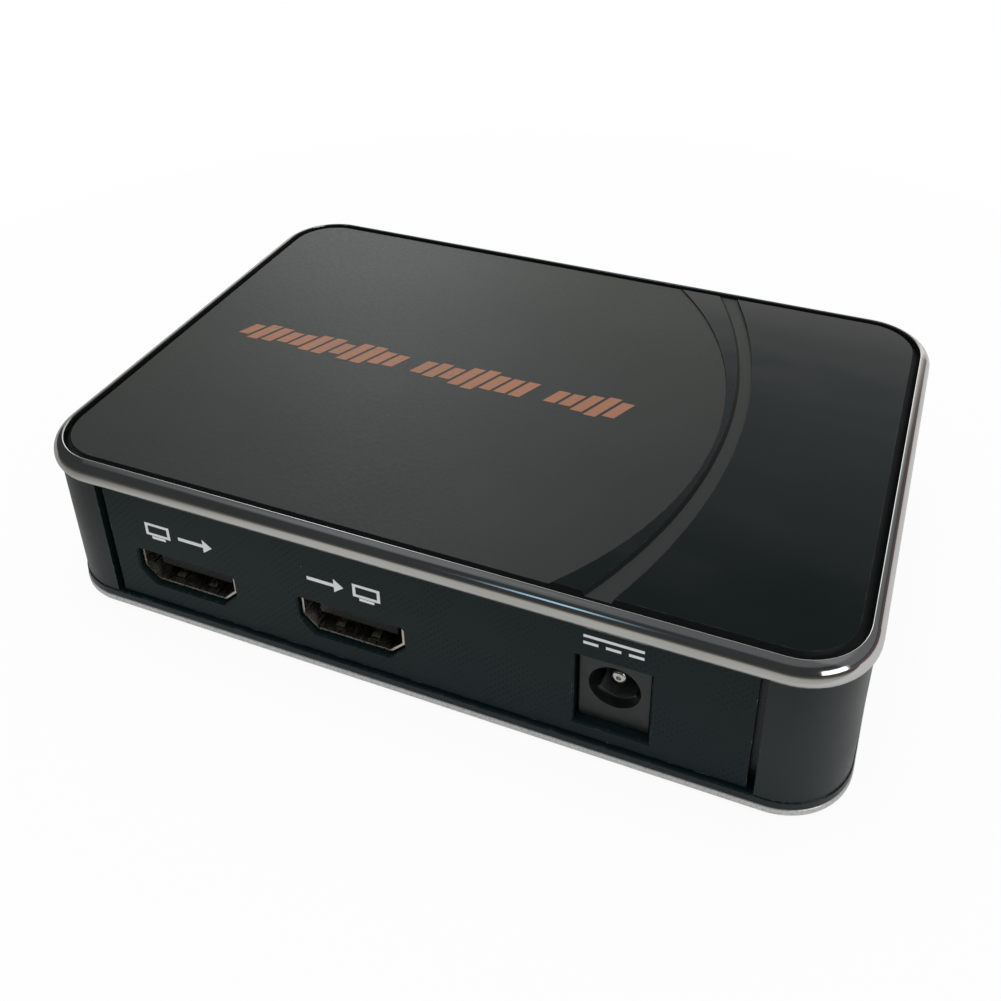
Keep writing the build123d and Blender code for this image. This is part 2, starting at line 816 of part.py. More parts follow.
with BuildPart() as power_jack_centre_pin:
    with BuildSketch(power_plane.offset(-power_pin_setback)):
        with Locations((0, power_axis_height)):
            Circle(power_pin_radius)
    extrude(amount=-(power_jack_bore_depth - power_pin_setback))
    fillet(power_jack_centre_pin.edges().group_by(Axis.Y)[0], power_pin_tip_radius)
    # Hollow in the end of the pin
    with BuildSketch(power_plane.offset(-power_pin_setback)):
        with Locations((0, power_axis_height)):
            Circle(power_pin_dimple_radius)
    extrude(amount=-power_pin_dimple_depth, mode=Mode.SUBTRACT)
    with BuildSketch(power_plane.offset(-power_jack_bore_depth)):
        with Locations((0, power_axis_height)):
            Circle(power_pin_shank_radius)
    extrude(amount=-(power_jack_depth - power_jack_bore_depth))
    with BuildSketch(power_plane.offset(-power_jack_depth)):
        tail_height = power_jack_bore_height + 2 * power_pin_shank_radius
        with Locations((0, board_top + tail_height / 2)):
            Rectangle(power_tail_width, tail_height)
    extrude(amount=-power_tail_thickness)
save(power_jack_centre_pin, "power_jack_centre_pin")

with BuildPart() as power_jack_side_contact:
    with BuildSketch(power_plane.offset(-power_contact_setback)):
        with BuildLine():
            first_angle = 270 - power_contact_half_angle
            sweep_angle = 2 * power_contact_half_angle
            axis_point = (0, power_axis_height)
            outer_arc = CenterArc(axis_point, power_contact_outer, first_angle, sweep_angle)
            inner_arc = CenterArc(axis_point, power_contact_inner, first_angle, sweep_angle)
            Line(outer_arc @ 0, inner_arc @ 0)
            Line(outer_arc @ 1, inner_arc @ 1)
        make_face()
    extrude(amount=-(power_jack_bore_depth - power_contact_setback - snug_gap))
    with BuildSketch(Plane.XY.offset(board_top)):
        with Locations((power_jack_x, power_tail_y)):
            Rectangle(power_tail_width, power_contact_tail_length)
    extrude(amount=power_jack_bore_height - power_contact_inner - power_contact_thickness / 2)
save(power_jack_side_contact, "power_jack_side_contact")

# Memory stick socket: shell, insulator and contacts
stick_front = panel_face - stick_socket_recess
stick_back = stick_front - stick_shell_depth
stick_plane = Plane((stick_socket_x, stick_front, 0), x_dir=(-1, 0, 0), z_dir=(0, 1, 0))
stick_shell_top = board_top + stick_shell_height
stick_tongue_top = stick_shell_top - stick_shell_wall - stick_tongue_drop
stick_tongue_base = stick_tongue_top - stick_tongue_thickness
stick_inner_width = stick_shell_width - 2 * stick_shell_wall
stick_inner_height = stick_shell_height - 2 * stick_shell_wall
stick_contact_places = (
    -stick_contact_outer_offset,
    -stick_contact_inner_offset,
    stick_contact_inner_offset,
    stick_contact_outer_offset,
)
with BuildPart() as stick_socket_shell:
    with BuildSketch(stick_plane):
        with Locations((0, stick_axis_height)):
            RectangleRounded(stick_shell_width, stick_shell_height, stick_shell_corner_radius)
            Rectangle(stick_inner_width, stick_inner_height, mode=Mode.SUBTRACT)
    extrude(amount=-stick_shell_depth)
save(stick_socket_shell, "stick_socket_shell")

with BuildPart() as stick_socket_insulator:
    with BuildSketch(stick_plane.offset(stick_block_depth - stick_shell_depth)):
        with Locations((0, stick_axis_height)):
            Rectangle(stick_inner_width - 2 * snug_gap, stick_inner_height - 2 * snug_gap)
    extrude(amount=-stick_block_depth)
    with BuildSketch(stick_plane.offset(-stick_tongue_setback)):
        with Locations((0, (stick_tongue_top + stick_tongue_base) / 2)):
            Rectangle(stick_tongue_width, stick_tongue_thickness)
    extrude(amount=-(stick_shell_depth - stick_block_depth - stick_tongue_setback))
    with BuildSketch(stick_plane.offset(stick_block_depth - stick_shell_depth)):
        slot_height = stick_contact_thickness + snug_gap
        for place in stick_contact_places:
            with Locations((place, stick_tongue_base - slot_height / 2)):
                Rectangle(stick_contact_width + 2 * snug_gap, slot_height)
    extrude(amount=-stick_block_depth, mode=Mode.SUBTRACT)
save(stick_socket_insulator, "stick_socket_insulator")

with BuildPart() as stick_socket_contacts:
    blade_front = stick_front - stick_tongue_setback - stick_contact_setback
    tail_back = stick_back - stick_contact_thickness
    blade_low = stick_tongue_base - stick_contact_thickness
    for place in stick_contact_places:
        contact_plane = Plane((stick_socket_x + place, 0, 0), x_dir=(0, 1, 0), z_dir=(1, 0, 0))
        with BuildSketch(contact_plane):
            with BuildLine():
                Polyline(
                    (blade_front, stick_tongue_base),
                    (tail_back, stick_tongue_base),
                    (tail_back, board_top),
                    (stick_back, board_top),
                    (stick_back, blade_low),
                    (blade_front, blade_low),
                    close=True,
                )
            make_face()
        extrude(amount=stick_contact_width / 2, both=True)
save(stick_socket_contacts, "stick_socket_contacts")

# Microphone jack: body with its nose, and three contacts in its side
microphone_front = panel_back - snug_gap
microphone_tip = panel_face - microphone_nose_recess
microphone_plane = Plane((microphone_jack_x, microphone_front, 0), x_dir=(-1, 0, 0), z_dir=(0, 1, 0))
microphone_slot_length = microphone_contact_length + 2 * microphone_contact_gap
with BuildPart() as microphone_jack_body:
    with BuildSketch(microphone_plane):
        with Locations((0, board_top + microphone_body_height / 2)):
            Rectangle(microphone_body_width, microphone_body_height)
    extrude(amount=-microphone_body_depth)
    with BuildSketch(microphone_plane):
        with Locations((0, microphone_axis)):
            Circle(microphone_nose_radius)
    extrude(amount=microphone_tip - microphone_front)
    with BuildSketch(microphone_plane.offset(microphone_tip - microphone_front)):
        with Locations((0, microphone_axis)):
            Circle(microphone_bore_radius)
    extrude(amount=microphone_front - microphone_tip - microphone_body_depth, mode=Mode.SUBTRACT)
    with BuildSketch(Plane.XY.offset(board_top)):
        slot_inner = microphone_bore_radius - microphone_contact_thickness
        slot_reach = microphone_body_width / 2 - slot_inner
        for share in microphone_contact_shares:
            slot_y = microphone_front - share * microphone_body_depth
            with Locations((microphone_jack_x + slot_inner + slot_reach / 2, slot_y)):
                Rectangle(slot_reach, microphone_slot_length)
    extrude(amount=microphone_axis_height, mode=Mode.SUBTRACT)
save(microphone_jack_body, "microphone_jack_body")

with BuildPart() as microphone_jack_contacts:
    with BuildSketch(Plane.XY.offset(board_top)):
        contact_x = microphone_jack_x + microphone_bore_radius + microphone_contact_thickness
        for share in microphone_contact_shares:
            slot_y = microphone_front - share * microphone_body_depth
            with Locations((contact_x, slot_y)):
                Rectangle(microphone_contact_thickness, microphone_contact_length)
    extrude(amount=microphone_axis_height - microphone_contact_gap)
save(microphone_jack_contacts, "microphone_jack_contacts")

# Record button: a round cap with a flange behind the panel and a stem
button_plane = Plane((button_x, panel_face + button_proud, 0), x_dir=(-1, 0, 0), z_dir=(0, 1, 0))
button_flange_front = panel_back - button_rest_gap
button_flange_back = button_flange_front - button_flange_thickness
switch_front = board_edge - switch_setback
plunger_front = switch_front + plunger_reach
with BuildPart() as record_button:
    with BuildSketch(button_plane):
        with Locations((0, button_axis)):
            Circle(button_radius)
    extrude(amount=-(panel_face + button_proud - button_flange_front))
    fillet(record_button.edges().group_by(Axis.Y)[-1], button_edge_radius)
    with BuildSketch(button_plane):
        with Locations((0, button_axis)):
            Circle(button_dish_radius)
    extrude(amount=-button_dish_depth, mode=Mode.SUBTRACT)
    with BuildSketch(button_plane.offset(button_flange_front - panel_face - button_proud)):
        with Locations((0, button_axis)):
            Circle(button_flange_radius)
    extrude(amount=-button_flange_thickness)
    with BuildSketch(button_plane.offset(button_flange_back - panel_face - button_proud)):
        with Locations((0, button_axis)):
            Circle(button_stem_radius)
    extrude(amount=-(button_flange_back - plunger_front))
save(record_button, "record_button")

# Switch behind the button, with room for the plunger's travel
plunger_back = switch_front - plunger_root
plunger_bore_floor = plunger_back - button_travel - plunger_spare
switch_plane = Plane((button_x, switch_front, 0), x_dir=(-1, 0, 0), z_dir=(0, 1, 0))
with BuildPart() as record_switch_body:
    with BuildSketch(switch_plane):
        with Locations((0, board_top + switch_height / 2)):
            Rectangle(switch_width, switch_height)
    extrude(amount=-switch_depth)
    fillet(record_switch_body.edges().filter_by(Axis.Y).group_by(Axis.Z)[-1], switch_corner_radius)
    with BuildSketch(switch_plane):
        with Locations((0, button_axis)):
            Circle(plunger_radius + plunger_gap)
    extrude(amount=-(switch_front - plunger_bore_floor), mode=Mode.SUBTRACT)
save(record_switch_body, "record_switch_body")

with BuildPart() as record_switch_plunger:
    with BuildSketch(switch_plane.offset(plunger_reach)):
        with Locations((0, button_axis)):
            Circle(plunger_radius)
    extrude(amount=-(plunger_front - plunger_back))
save(record_switch_plunger, "record_switch_plunger")

# Lamp on the board and the clear pipe that carries its light to the panel
lamp_front = board_edge - lamp_setback
with BuildPart() as status_lamp:
    with BuildSketch(Plane.XY.offset(board_top)):
        with Locations((lamp_x, lamp_front - lamp_depth / 2)):
            Rectangle(lamp_width, lamp_depth)
    extrude(amount=lamp_height)
    chamfer(status_lamp.edges().group_by(Axis.Z)[-1], chip_edge_chamfer)
save(status_lamp, "status_lamp")

pipe_plane = Plane((lamp_x, panel_face, 0), x_dir=(-1, 0, 0), z_dir=(0, 1, 0))
pipe_back = lamp_front + lamp_gap
with BuildPart() as light_pipe:
    with BuildSketch(pipe_plane):
        with Locations((0, lamp_axis)):
            Circle(light_pipe_radius)
    extrude(amount=-(panel_face - pipe_back))
    with BuildSketch(pipe_plane.offset(-panel_thickness)):
        with Locations((0, lamp_axis)):
            Circle(light_pipe_flange_radius)
    extrude(amount=-light_pipe_flange_thickness)
save(light_pipe, "light_pipe")


def board_block(name, places, length, width, height):
    """Make one chip, or a group of alike ones, with a chamfered top edge."""
    with BuildPart() as block:
        with BuildSketch(Plane.XY.offset(board_top)):
            with Locations(*places):
                Rectangle(length, width)
        extrude(amount=height)
        chamfer(block.edges().group_by(Axis.Z)[-1], chip_edge_chamfer)
    save(block, name)


board_block(
    "capture_chip",
    [(capture_chip_x, capture_chip_y)],
    capture_chip_size,
    capture_chip_size,
    capture_chip_height,
)
board_block(
    "memory_chips",
    [(memory_chip_x, memory_chip_y + side * memory_chip_pitch / 2) for side in (-1, 1)],
    memory_chip_length,
    memory_chip_width,
    memory_chip_height,
)
board_block(
    "video_receiver_chip",
    [(receiver_chip_x, picture_back + receiver_chip_gap + receiver_chip_size / 2)],
    receiver_chip_size,
    receiver_chip_size,
    receiver_chip_height,
)
board_block(
    "video_transmitter_chip",
    [
        (
            picture_output_x + transmitter_chip_offset,
            picture_back + transmitter_chip_gap + transmitter_chip_size / 2,
        )
    ],
    transmitter_chip_size,
    transmitter_chip_size,
    transmitter_chip_height,
)

# Flash chip with four legs on each long side
flash_chip_y = stick_back - flash_chip_setback
with BuildPart() as flash_chip:
    with BuildSketch(Plane.XY.offset(board_top)):
        with Locations((flash_chip_x, flash_chip_y)):
            Rectangle(flash_chip_length, flash_chip_width)
    extrude(amount=flash_chip_height)
    chamfer(flash_chip.edges().group_by(Axis.Z)[-1], chip_edge_chamfer)
    with BuildSketch(Plane.XY.offset(board_top)):
        for side in (-1, 1):
            with Locations((flash_chip_x, flash_chip_y + side * (flash_chip_width + chip_lead_length) / 2)):
                with GridLocations(chip_lead_pitch, 0, chip_lead_count, 1):
                    Rectangle(chip_lead_width, chip_lead_length)
    extrude(amount=chip_lead_height)
save(flash_chip, "flash_chip")

# Thermal pad on the capture chip, and the finned heat sink on the pad
pad_bottom = board_top + capture_chip_height
sink_bottom = pad_bottom + pad_thickness
sink_fin_pitch = (sink_size - sink_fin_thickness) / (sink_fin_count - 1)
with BuildPart() as thermal_pad:
    with BuildSketch(Plane.XY.offset(pad_bottom)):
        with Locations((capture_chip_x, capture_chip_y)):
            Rectangle(pad_size, pad_size)
    extrude(amount=pad_thickness)
save(thermal_pad, "thermal_pad")

with BuildPart() as heat_sink:
    with BuildSketch(Plane.XY.offset(sink_bottom)):
        with Locations((capture_chip_x, capture_chip_y)):
            Rectangle(sink_size, sink_size)
    extrude(amount=sink_base_thickness)
    with BuildSketch(Plane.XY.offset(sink_bottom + sink_base_thickness)):
        with Locations((capture_chip_x, capture_chip_y)):
            with GridLocations(sink_fin_pitch, 0, sink_fin_count, 1):
                Rectangle(sink_fin_thickness, sink_size)
    extrude(amount=sink_fin_height)
save(heat_sink, "heat_sink")

# Crystals: two low metal cans with rounded ends
with BuildPart() as clock_crystals:
    with BuildSketch(Plane.XY.offset(board_top)):
        with Locations((0, crystal_y)):
            with GridLocations(crystal_spacing, 0, crystal_count, 1):
                SlotOverall(crystal_length, crystal_width)
    extrude(amount=crystal_height)
    fillet(clock_crystals.edges().group_by(Axis.Z)[-1], crystal_edge_radius)
save(clock_crystals, "clock_crystals")

# Power coils
with BuildPart() as power_coils:
    with BuildSketch(Plane.XY.offset(board_top)):
        for index in range(coil_count):
            with Locations((coil_x, coil_y + index * coil_pitch)):
                RectangleRounded(coil_size, coil_size, coil_corner_radius)
    extrude(amount=coil_height)
    chamfer(power_coils.edges().group_by(Axis.Z)[-1], chip_edge_chamfer)
save(power_coils, "power_coils")

# Filter capacitors: metal cans on square bases with two cut corners
can_places = [(can_x, can_y + index * can_pitch) for index in range(can_count)]
with BuildPart() as capacitor_bases:
    with BuildSketch(Plane.XY.offset(board_top)):
        with Locations(*can_places):
            Rectangle(can_base_size, can_base_size)
    extrude(amount=can_base_height)
    chamfer(capacitor_bases.edges().filter_by(Axis.Z).group_by(Axis.X)[0], can_base_chamfer)
save(capacitor_bases, "capacitor_bases")

with BuildPart() as filter_capacitors:
    with BuildSketch(Plane.XY.offset(board_top + can_base_height)):
        with Locations(*can_places):
            Circle(can_radius)
    extrude(amount=can_height)
    fillet(filter_capacitors.edges().group_by(Axis.Z)[-1], can_edge_radius)
save(filter_capacitors, "filter_capacitors")

# Voltage regulators, each with its soldered tab
regulator_y = power_front + power_jack_depth + regulator_gap + regulator_width / 2
regulator_row = [regulator_x + index * regulator_pitch for index in range(regulator_count)]
with BuildPart() as voltage_regulators:
    with BuildSketch(Plane.XY.offset(board_top)):
        with Locations(*[(place_x, regulator_y) for place_x in regulator_row]):
            Rectangle(regulator_length, regulator_width)
    extrude(amount=regulator_height)
    chamfer(voltage_regulators.edges().group_by(Axis.Z)[-1], chip_edge_chamfer)
    with BuildSketch(Plane.XY.offset(board_top)):
        tab_y = regulator_y + (regulator_width + regulator_tab_length) / 2
        with Locations(*[(place_x, tab_y) for place_x in regulator_row]):
            Rectangle(regulator_tab_width, regulator_tab_length)
    extrude(amount=regulator_tab_thickness)
save(voltage_regulators, "voltage_regulators")

# Small ceramic capacitors in two rows beside the capture chip
with BuildPart() as ceramic_capacitors:
    with BuildSketch(Plane.XY.offset(board_top)):
        with Locations((capture_chip_x, capture_chip_y)):
            with GridLocations(
                ceramic_spacing_x,
                ceramic_spacing_y,
                ceramic_column_count,
                ceramic_row_count,
            ):
                Rectangle(ceramic_width, ceramic_length)
    extrude(amount=ceramic_height)
save(ceramic_capacitors, "ceramic_capacitors")
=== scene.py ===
from math import cos, pi, radians, sin

import bmesh
import bpy
from mathutils import Matrix, Vector


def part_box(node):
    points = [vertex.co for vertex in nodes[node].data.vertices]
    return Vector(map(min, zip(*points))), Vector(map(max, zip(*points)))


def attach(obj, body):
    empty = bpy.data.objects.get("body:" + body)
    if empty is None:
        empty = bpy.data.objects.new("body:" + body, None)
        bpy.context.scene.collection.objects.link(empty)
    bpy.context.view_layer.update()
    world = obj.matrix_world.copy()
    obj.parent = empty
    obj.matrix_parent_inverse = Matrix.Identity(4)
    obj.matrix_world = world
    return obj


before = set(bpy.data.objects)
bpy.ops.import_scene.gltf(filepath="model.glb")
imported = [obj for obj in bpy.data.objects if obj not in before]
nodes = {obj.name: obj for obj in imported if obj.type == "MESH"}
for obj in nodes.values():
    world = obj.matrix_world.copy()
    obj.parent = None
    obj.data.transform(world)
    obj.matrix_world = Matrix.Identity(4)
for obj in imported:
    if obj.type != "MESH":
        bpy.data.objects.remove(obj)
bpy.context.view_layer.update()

# The dressed video capture box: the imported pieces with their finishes, the
# printed marks on the cover and the panels, and a plain white studio.
# Lengths are in metres, and mm turns a length in millimetres into metres.

mm = 0.001

# Camera: the photograph's own view, fitted on the outlines of the box
camera_azimuth = 22.010
camera_elevation = 30.092
camera_roll = -0.501
camera_distance = 169.879 * mm
camera_target = Vector((-3.135, 10.742, 33.726)) * mm
image_width_px = 1001
focal_length_px = 1153.506
optical_centre_px = (519.444, 291.255)
sensor_width = 36.0
camera_clip_start = 5 * mm

# World and lamp
world_level = 0.55
lamp_height = 700 * mm
lamp_size = 460 * mm
lamp_power = 1.9

# Floor: seen by the camera it is mostly white, and wholly white further out
floor_size = 6000 * mm
white_share = 0.93
white_near = 85 * mm
white_far = 165 * mm

# Floor: mirrored in the box it is greyer in front, dark further out there, and grey on
# the left, each from its near to its far line
front_near = -42 * mm
front_far = -58 * mm
dusk_near = 60 * mm
dusk_far = 200 * mm
left_near = -35 * mm
left_far = -80 * mm
floor_seen_colour = (0.97, 0.97, 0.97)
floor_lit_colour = (0.80, 0.80, 0.80)
floor_front_colour = (0.65, 0.65, 0.62)
floor_left_colour = (0.42, 0.42, 0.40)
floor_dusk_colour = (0.11, 0.095, 0.085)

# Tent: its mesh, a dome in steps of some degrees from just under the floor
tent_radius = 1000 * mm
tent_step = 2.5
tent_low = -2.5

# Tent: spans in azimuth from -Y towards +X, and rises in elevation, in degrees,
# each as its middle, how far it is full, and how far it reaches
wall_span = (197, 38, 54)
side_span = (112, 36, 50)
pale_span = (315, 14, 20)
pale_rise = (57, 10, 16)
back_window_span = (211, 4, 10)
window_span = (57, 12, 17)
sky_span = (346.5, 2, 4.5)
sky_rise = (25, 2.5, 5)

# Tent: fades in degrees, each from where it is 0 to where it is 1
hall_fade = (44, 54)
side_fade = (13, 20)
brown_fade = (14, 10)
strip_fade = (30.8, 30.2)
shade_fade = (205, 226)
wall_edge_fade = (44.6, 43.4)
wall_fade = (45, 30)
back_window_fade = (56, 42)
window_foot_fade = (5, 8)
window_head_fade = (28, 24)

# Tent: brightness of its parts, and their tints in red, green and blue
hall_level = 0.05
hall_top_level = 0.10
pale_level = 0.06
side_level = 0.12
brown_level = 0.09
wall_level = 0.10
wall_edge_level = 0.13
wall_low_level = 0.23
wall_shade = 0.35
window_level = 2.6
sky_level = 1.3
level_tint = (0.94, 1.00, 1.04)
strip_tint = (1.02, 0.98, 0.93)
brown_tint = (1.00, 0.50, 0.45)
window_tint = (1.00, 1.00, 1.03)
sky_tint = (0.45, 0.75, 1.00)

# Marks printed on the cover
ink_thickness = 0.02 * mm
bar_lean = 0.47
bar_width = 1.75 * mm
bar_gap = 0.5 * mm
bar_group_counts = (12, 8, 5)
bar_group_starts = (-44.0 * mm, -14.6 * mm, 6.1 * mm)
bar_low_height = 3.0 * mm
bar_high_height = 5.6 * mm
bar_centre_y = -0.5 * mm
bar_fast_turn = 0.9
bar_slow_turn = 0.37
bar_first_turn = 0.4

# Marks printed on the panels
mark_line = 0.42 * mm
thin_line = 0.3 * mm
mark_height = 2.6 * mm
mark_gap = 1.3 * mm
arc_steps = 24
disc_steps = 32
screen_width = 3.8 * mm
stand_height_share = 0.2
stand_width_share = 0.55
arrow_length = 5.2 * mm
arrow_head = 2.2 * mm
arrow_head_share = 0.62
arrow_line = mark_line * 1.3
output_mark = Vector((-32.3, 15.9)) * mm
input_mark = Vector((-7.9, 15.9)) * mm
power_mark = Vector((27.0, 19.4)) * mm
power_mark_width = 7.2 * mm
power_mark_rise = mark_height / 5
stick_mark = Vector((-27.0, 14.6)) * mm
stick_body_size = (4.6 * mm, 2.4 * mm)
stick_body_back = 1.1 * mm
stick_plug_size = (2.0 * mm, 1.6 * mm)
stick_plug_ahead = 2.4 * mm
microphone_mark = Vector((-8.0, 14.6)) * mm
capsule_width = 0.9 * mm
capsule_height = 1.0 * mm
capsule_rise = 0.45 * mm
yoke_radius = 1.0 * mm
yoke_rise = 0.1 * mm
stem_height = 0.4 * mm
stem_drop = 1.25 * mm
stem_foot_width = 1.4 * mm
stem_foot_line = 0.25 * mm
stem_foot_drop = 1.55 * mm
record_mark = Vector((27.0, 16.6)) * mm
record_dot_radius = 0.7 * mm
record_ring_radius = 1.3 * mm

# Depths under the cover's top that its finish and its marks follow
sunken_shallow = 0.1 * mm
sunken_deep = 0.16 * mm
disc_depth = 0.2 * mm

# Slopes of the cover, by the upward part of the surface's direction: level, slanted, steep
level_up = 0.995
slanted_up = 0.97
steep_up = 0.9

# Values of a noise between which it goes from one patch to the next
noise_low = 0.3
noise_high = 0.7

# Wear and grain of the smaller metal and moulded pieces
metal_edge = 0.15 * mm
metal_line_depth = 0.0015 * mm
metal_cloud_ratio = 8
moulded_edge = 0.18 * mm
moulded_cloud_ratio = 20

# Index of refraction
plastic_index = 1.5
clear_index = 1.49

# Colours laid over the finishes: dust and wear, a pale edge line on the cover that is partly wear and
# partly painted highlight, painted shade on the cover's steep faces, dots, pits and plating
cover_dust_wear_highlight_colour = (0.11, 0.12, 0.12)
panel_mark_colour = (0.17, 0.18, 0.18)
case_mark_colour = (0.15, 0.155, 0.15)
steep_face_shade_colour = (0.0020, 0.0030, 0.0030)
dot_colour = (0.002, 0.004, 0.004)
pit_colour = (0.25, 0.24, 0.23)
copper_run_colour = (0.035, 0.20, 0.075)
solder_colour = (0.75, 0.62, 0.35)


# Nodes of one material, with short calls to add and join them


class Finish:
    """One material: its node tree, and calls that add a node and give back its output."""

    def __init__(self, name):
        self.material = bpy.data.materials.new(name)
        self.material.use_nodes = True
        self.tree = self.material.node_tree
        self.tree.nodes.clear()
        self.output = self.tree.nodes.new("ShaderNodeOutputMaterial")
        self.place = self.tree.nodes.new("ShaderNodeTexCoord").outputs["Object"]

    def feed(self, socket, value):
        """Give a socket another node's output, or a plain value."""
        if isinstance(value, bpy.types.NodeSocket):
            self.tree.links.new(value, socket)
        else:
            socket.default_value = value

    def add(self, kind, *values, **settings):
        """Add a node with these settings, and feed its inputs in order."""
        node = self.tree.nodes.new(kind)
        for key, value in settings.items():
            setattr(node, key, value)
        for socket, value in zip(node.inputs, values):
            if value is not None:
                self.feed(socket, value)
        return node

    def math(self, operation, *values):
        return self.add("ShaderNodeMath", *values, operation=operation).outputs[0]

    def ramp(self, value, low, high, start=0.0, end=1.0):
        """Map a value from low..high to start..end, with soft ends."""
        node = self.add("ShaderNodeMapRange", interpolation_type="SMOOTHSTEP")
        for name, given in (("Value", value), ("From Min", low), ("From Max", high)):
            self.feed(node.inputs[name], given)
        self.feed(node.inputs["To Min"], start)
        self.feed(node.inputs["To Max"], end)
        return node.outputs[0]

    def blend(self, share, first, second):
        """Mix two colours by a share from 0 to 1."""
        node = self.add("ShaderNodeMix", data_type="RGBA")
        self.feed(node.inputs[0], share)
        self.feed(node.inputs[6], colour(first))
        self.feed(node.inputs[7], colour(second))
        return node.outputs[2]

    def patches(self, noise, start=0.0, end=1.0):
        """Go from start to end between the low and the high patches of a noise."""
        return self.ramp(noise, noise_low, noise_high, start, end)

    def noise(self, size, detail=3.0, stretch=(1.0, 1.0, 1.0)):
        """Noise whose patches are about this size."""
        where = self.place
        if stretch != (1.0, 1.0, 1.0):
            where = self.add("ShaderNodeMapping", where, None, None, stretch).outputs[0]
        node = self.add("ShaderNodeTexNoise", where)
        node.inputs["Scale"].default_value = 1 / size
        node.inputs["Detail"].default_value = detail
        return node.outputs[0]

    def cells(self, size, feature="F1"):
        """A pattern of cells round scattered points, about this far apart."""
        node = self.add("ShaderNodeTexVoronoi", self.place, feature=feature)
        node.inputs["Scale"].default_value = 1 / size
        return node

    def specks(self, spacing, radius, share):
        """Small round specks in some of the cells: 1 on a speck, 0 elsewhere."""
        node = self.cells(spacing)
        dot = self.ramp(node.outputs["Distance"], radius / spacing, radius / spacing / 2)
        chosen = self.add("ShaderNodeSeparateColor", node.outputs["Color"]).outputs[0]
        return self.math("MULTIPLY", dot, self.math("LESS_THAN", chosen, share))

    def edges(self, radius, start=0.02, end=0.2):
        """1 on convex and concave edges, fading to 0 away from them."""
        bevel = self.add("ShaderNodeBevel", radius, samples=4).outputs[0]
        normal = self.add("ShaderNodeNewGeometry").outputs["Normal"]
        turn = self.add("ShaderNodeVectorMath", bevel, normal, operation="DOT_PRODUCT")
        return self.ramp(self.math("SUBTRACT", 1.0, turn.outputs["Value"]), start, end)

    def bump(self, height, depth, strength=1.0):
        """Normal of a surface with this height pattern, of this depth."""
        node = self.add("ShaderNodeBump")
        self.feed(node.inputs["Height"], height)
        node.inputs["Distance"].default_value = depth
        node.inputs["Strength"].default_value = strength
        return node.outputs[0]

    def shade(self, **values):
        """Finish the material with the shader's own sockets."""
        shader = self.add("ShaderNodeBsdfPrincipled")
        for key, value in values.items():
            self.feed(shader.inputs[key.replace("_", " ")], value)
        self.tree.links.new(shader.outputs[0], self.output.inputs["Surface"])
        return self.material


def colour(value):
    """A shader colour from three numbers, or the socket as it is."""
    if isinstance(value, bpy.types.NodeSocket):
        return value
    return (*value, 1.0)


# Finishes of what shows


def cover_finish():
    """Black cover: grained and matte where sunken, glossy on the rest, with painted shade that makes its
    steep faces black and a pale line of wear and painted highlight along its edges.
    """
    f = Finish("cover_black")
    z = f.add("ShaderNodeSeparateXYZ", f.place).outputs[2]
    cover_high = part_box("top_cover")[1].z
    sunken = f.ramp(z, cover_high - sunken_shallow, cover_high - sunken_deep)
    normal = f.add("ShaderNodeNewGeometry").outputs["Normal"]
    up = f.add("ShaderNodeSeparateXYZ", normal).outputs[2]
    disc = f.math("MULTIPLY", sunken, f.ramp(up, slanted_up, level_up))
    # Painted shade: the steep faces are given a near-black colour in place of the dark they mirror.
    bevel = f.ramp(up, slanted_up, steep_up)

    grain = f.noise(size=0.55 * mm, detail=2.0)
    pebble = f.cells(size=0.7 * mm, feature="SMOOTH_F1").outputs["Distance"]
    leather = f.math("ADD", f.math("MULTIPLY", grain, 0.6), f.math("MULTIPLY", pebble, 0.7))
    leather = f.math("MULTIPLY", leather, disc)
    leather_depth = 0.010 * mm

    cloud = f.patches(f.noise(size=22 * mm, detail=3.0))
    matte = f.blend(cloud, (0.0165, 0.0215, 0.0190), (0.0215, 0.0265, 0.0235))
    gloss = f.blend(cloud, (0.0040, 0.0075, 0.0075), (0.0060, 0.0095, 0.0095))
    dust = f.specks(spacing=5.2 * mm, radius=0.1 * mm, share=0.35)
    # Pale line along the edges: partly wear, partly a painted edge highlight; dust specks join it.
    wear = f.ramp(f.noise(size=1.2 * mm, detail=3.0), 0.45, 0.65, 0.15, 0.6)
    edge_wear_and_highlight = f.math("MULTIPLY", f.edges(0.12 * mm, start=0.01, end=0.1), wear)
    marks = f.math("MAXIMUM", dust, edge_wear_and_highlight)
    black = f.blend(bevel, f.blend(disc, gloss, matte), steep_face_shade_colour)

    wipe = f.noise(size=6 * mm, detail=4.0, stretch=(0.35, 1.0, 1.0))
    smooth = f.ramp(wipe, 0.3, 0.75, 0.10, 0.20)
    rough = f.patches(grain, 0.35, 0.42)
    roughness = f.math("ADD", smooth, f.math("MULTIPLY", disc, f.math("SUBTRACT", rough, smooth)))
    dull = f.math("MAXIMUM", f.math("MULTIPLY", dust, 0.7), f.math("MULTIPLY", bevel, 0.55))
    return f.shade(
        Base_Color=f.blend(marks, black, cover_dust_wear_highlight_colour),
        Roughness=f.math("MAXIMUM", roughness, dull),
        Normal=f.bump(leather, leather_depth),
        IOR=plastic_index,
    )


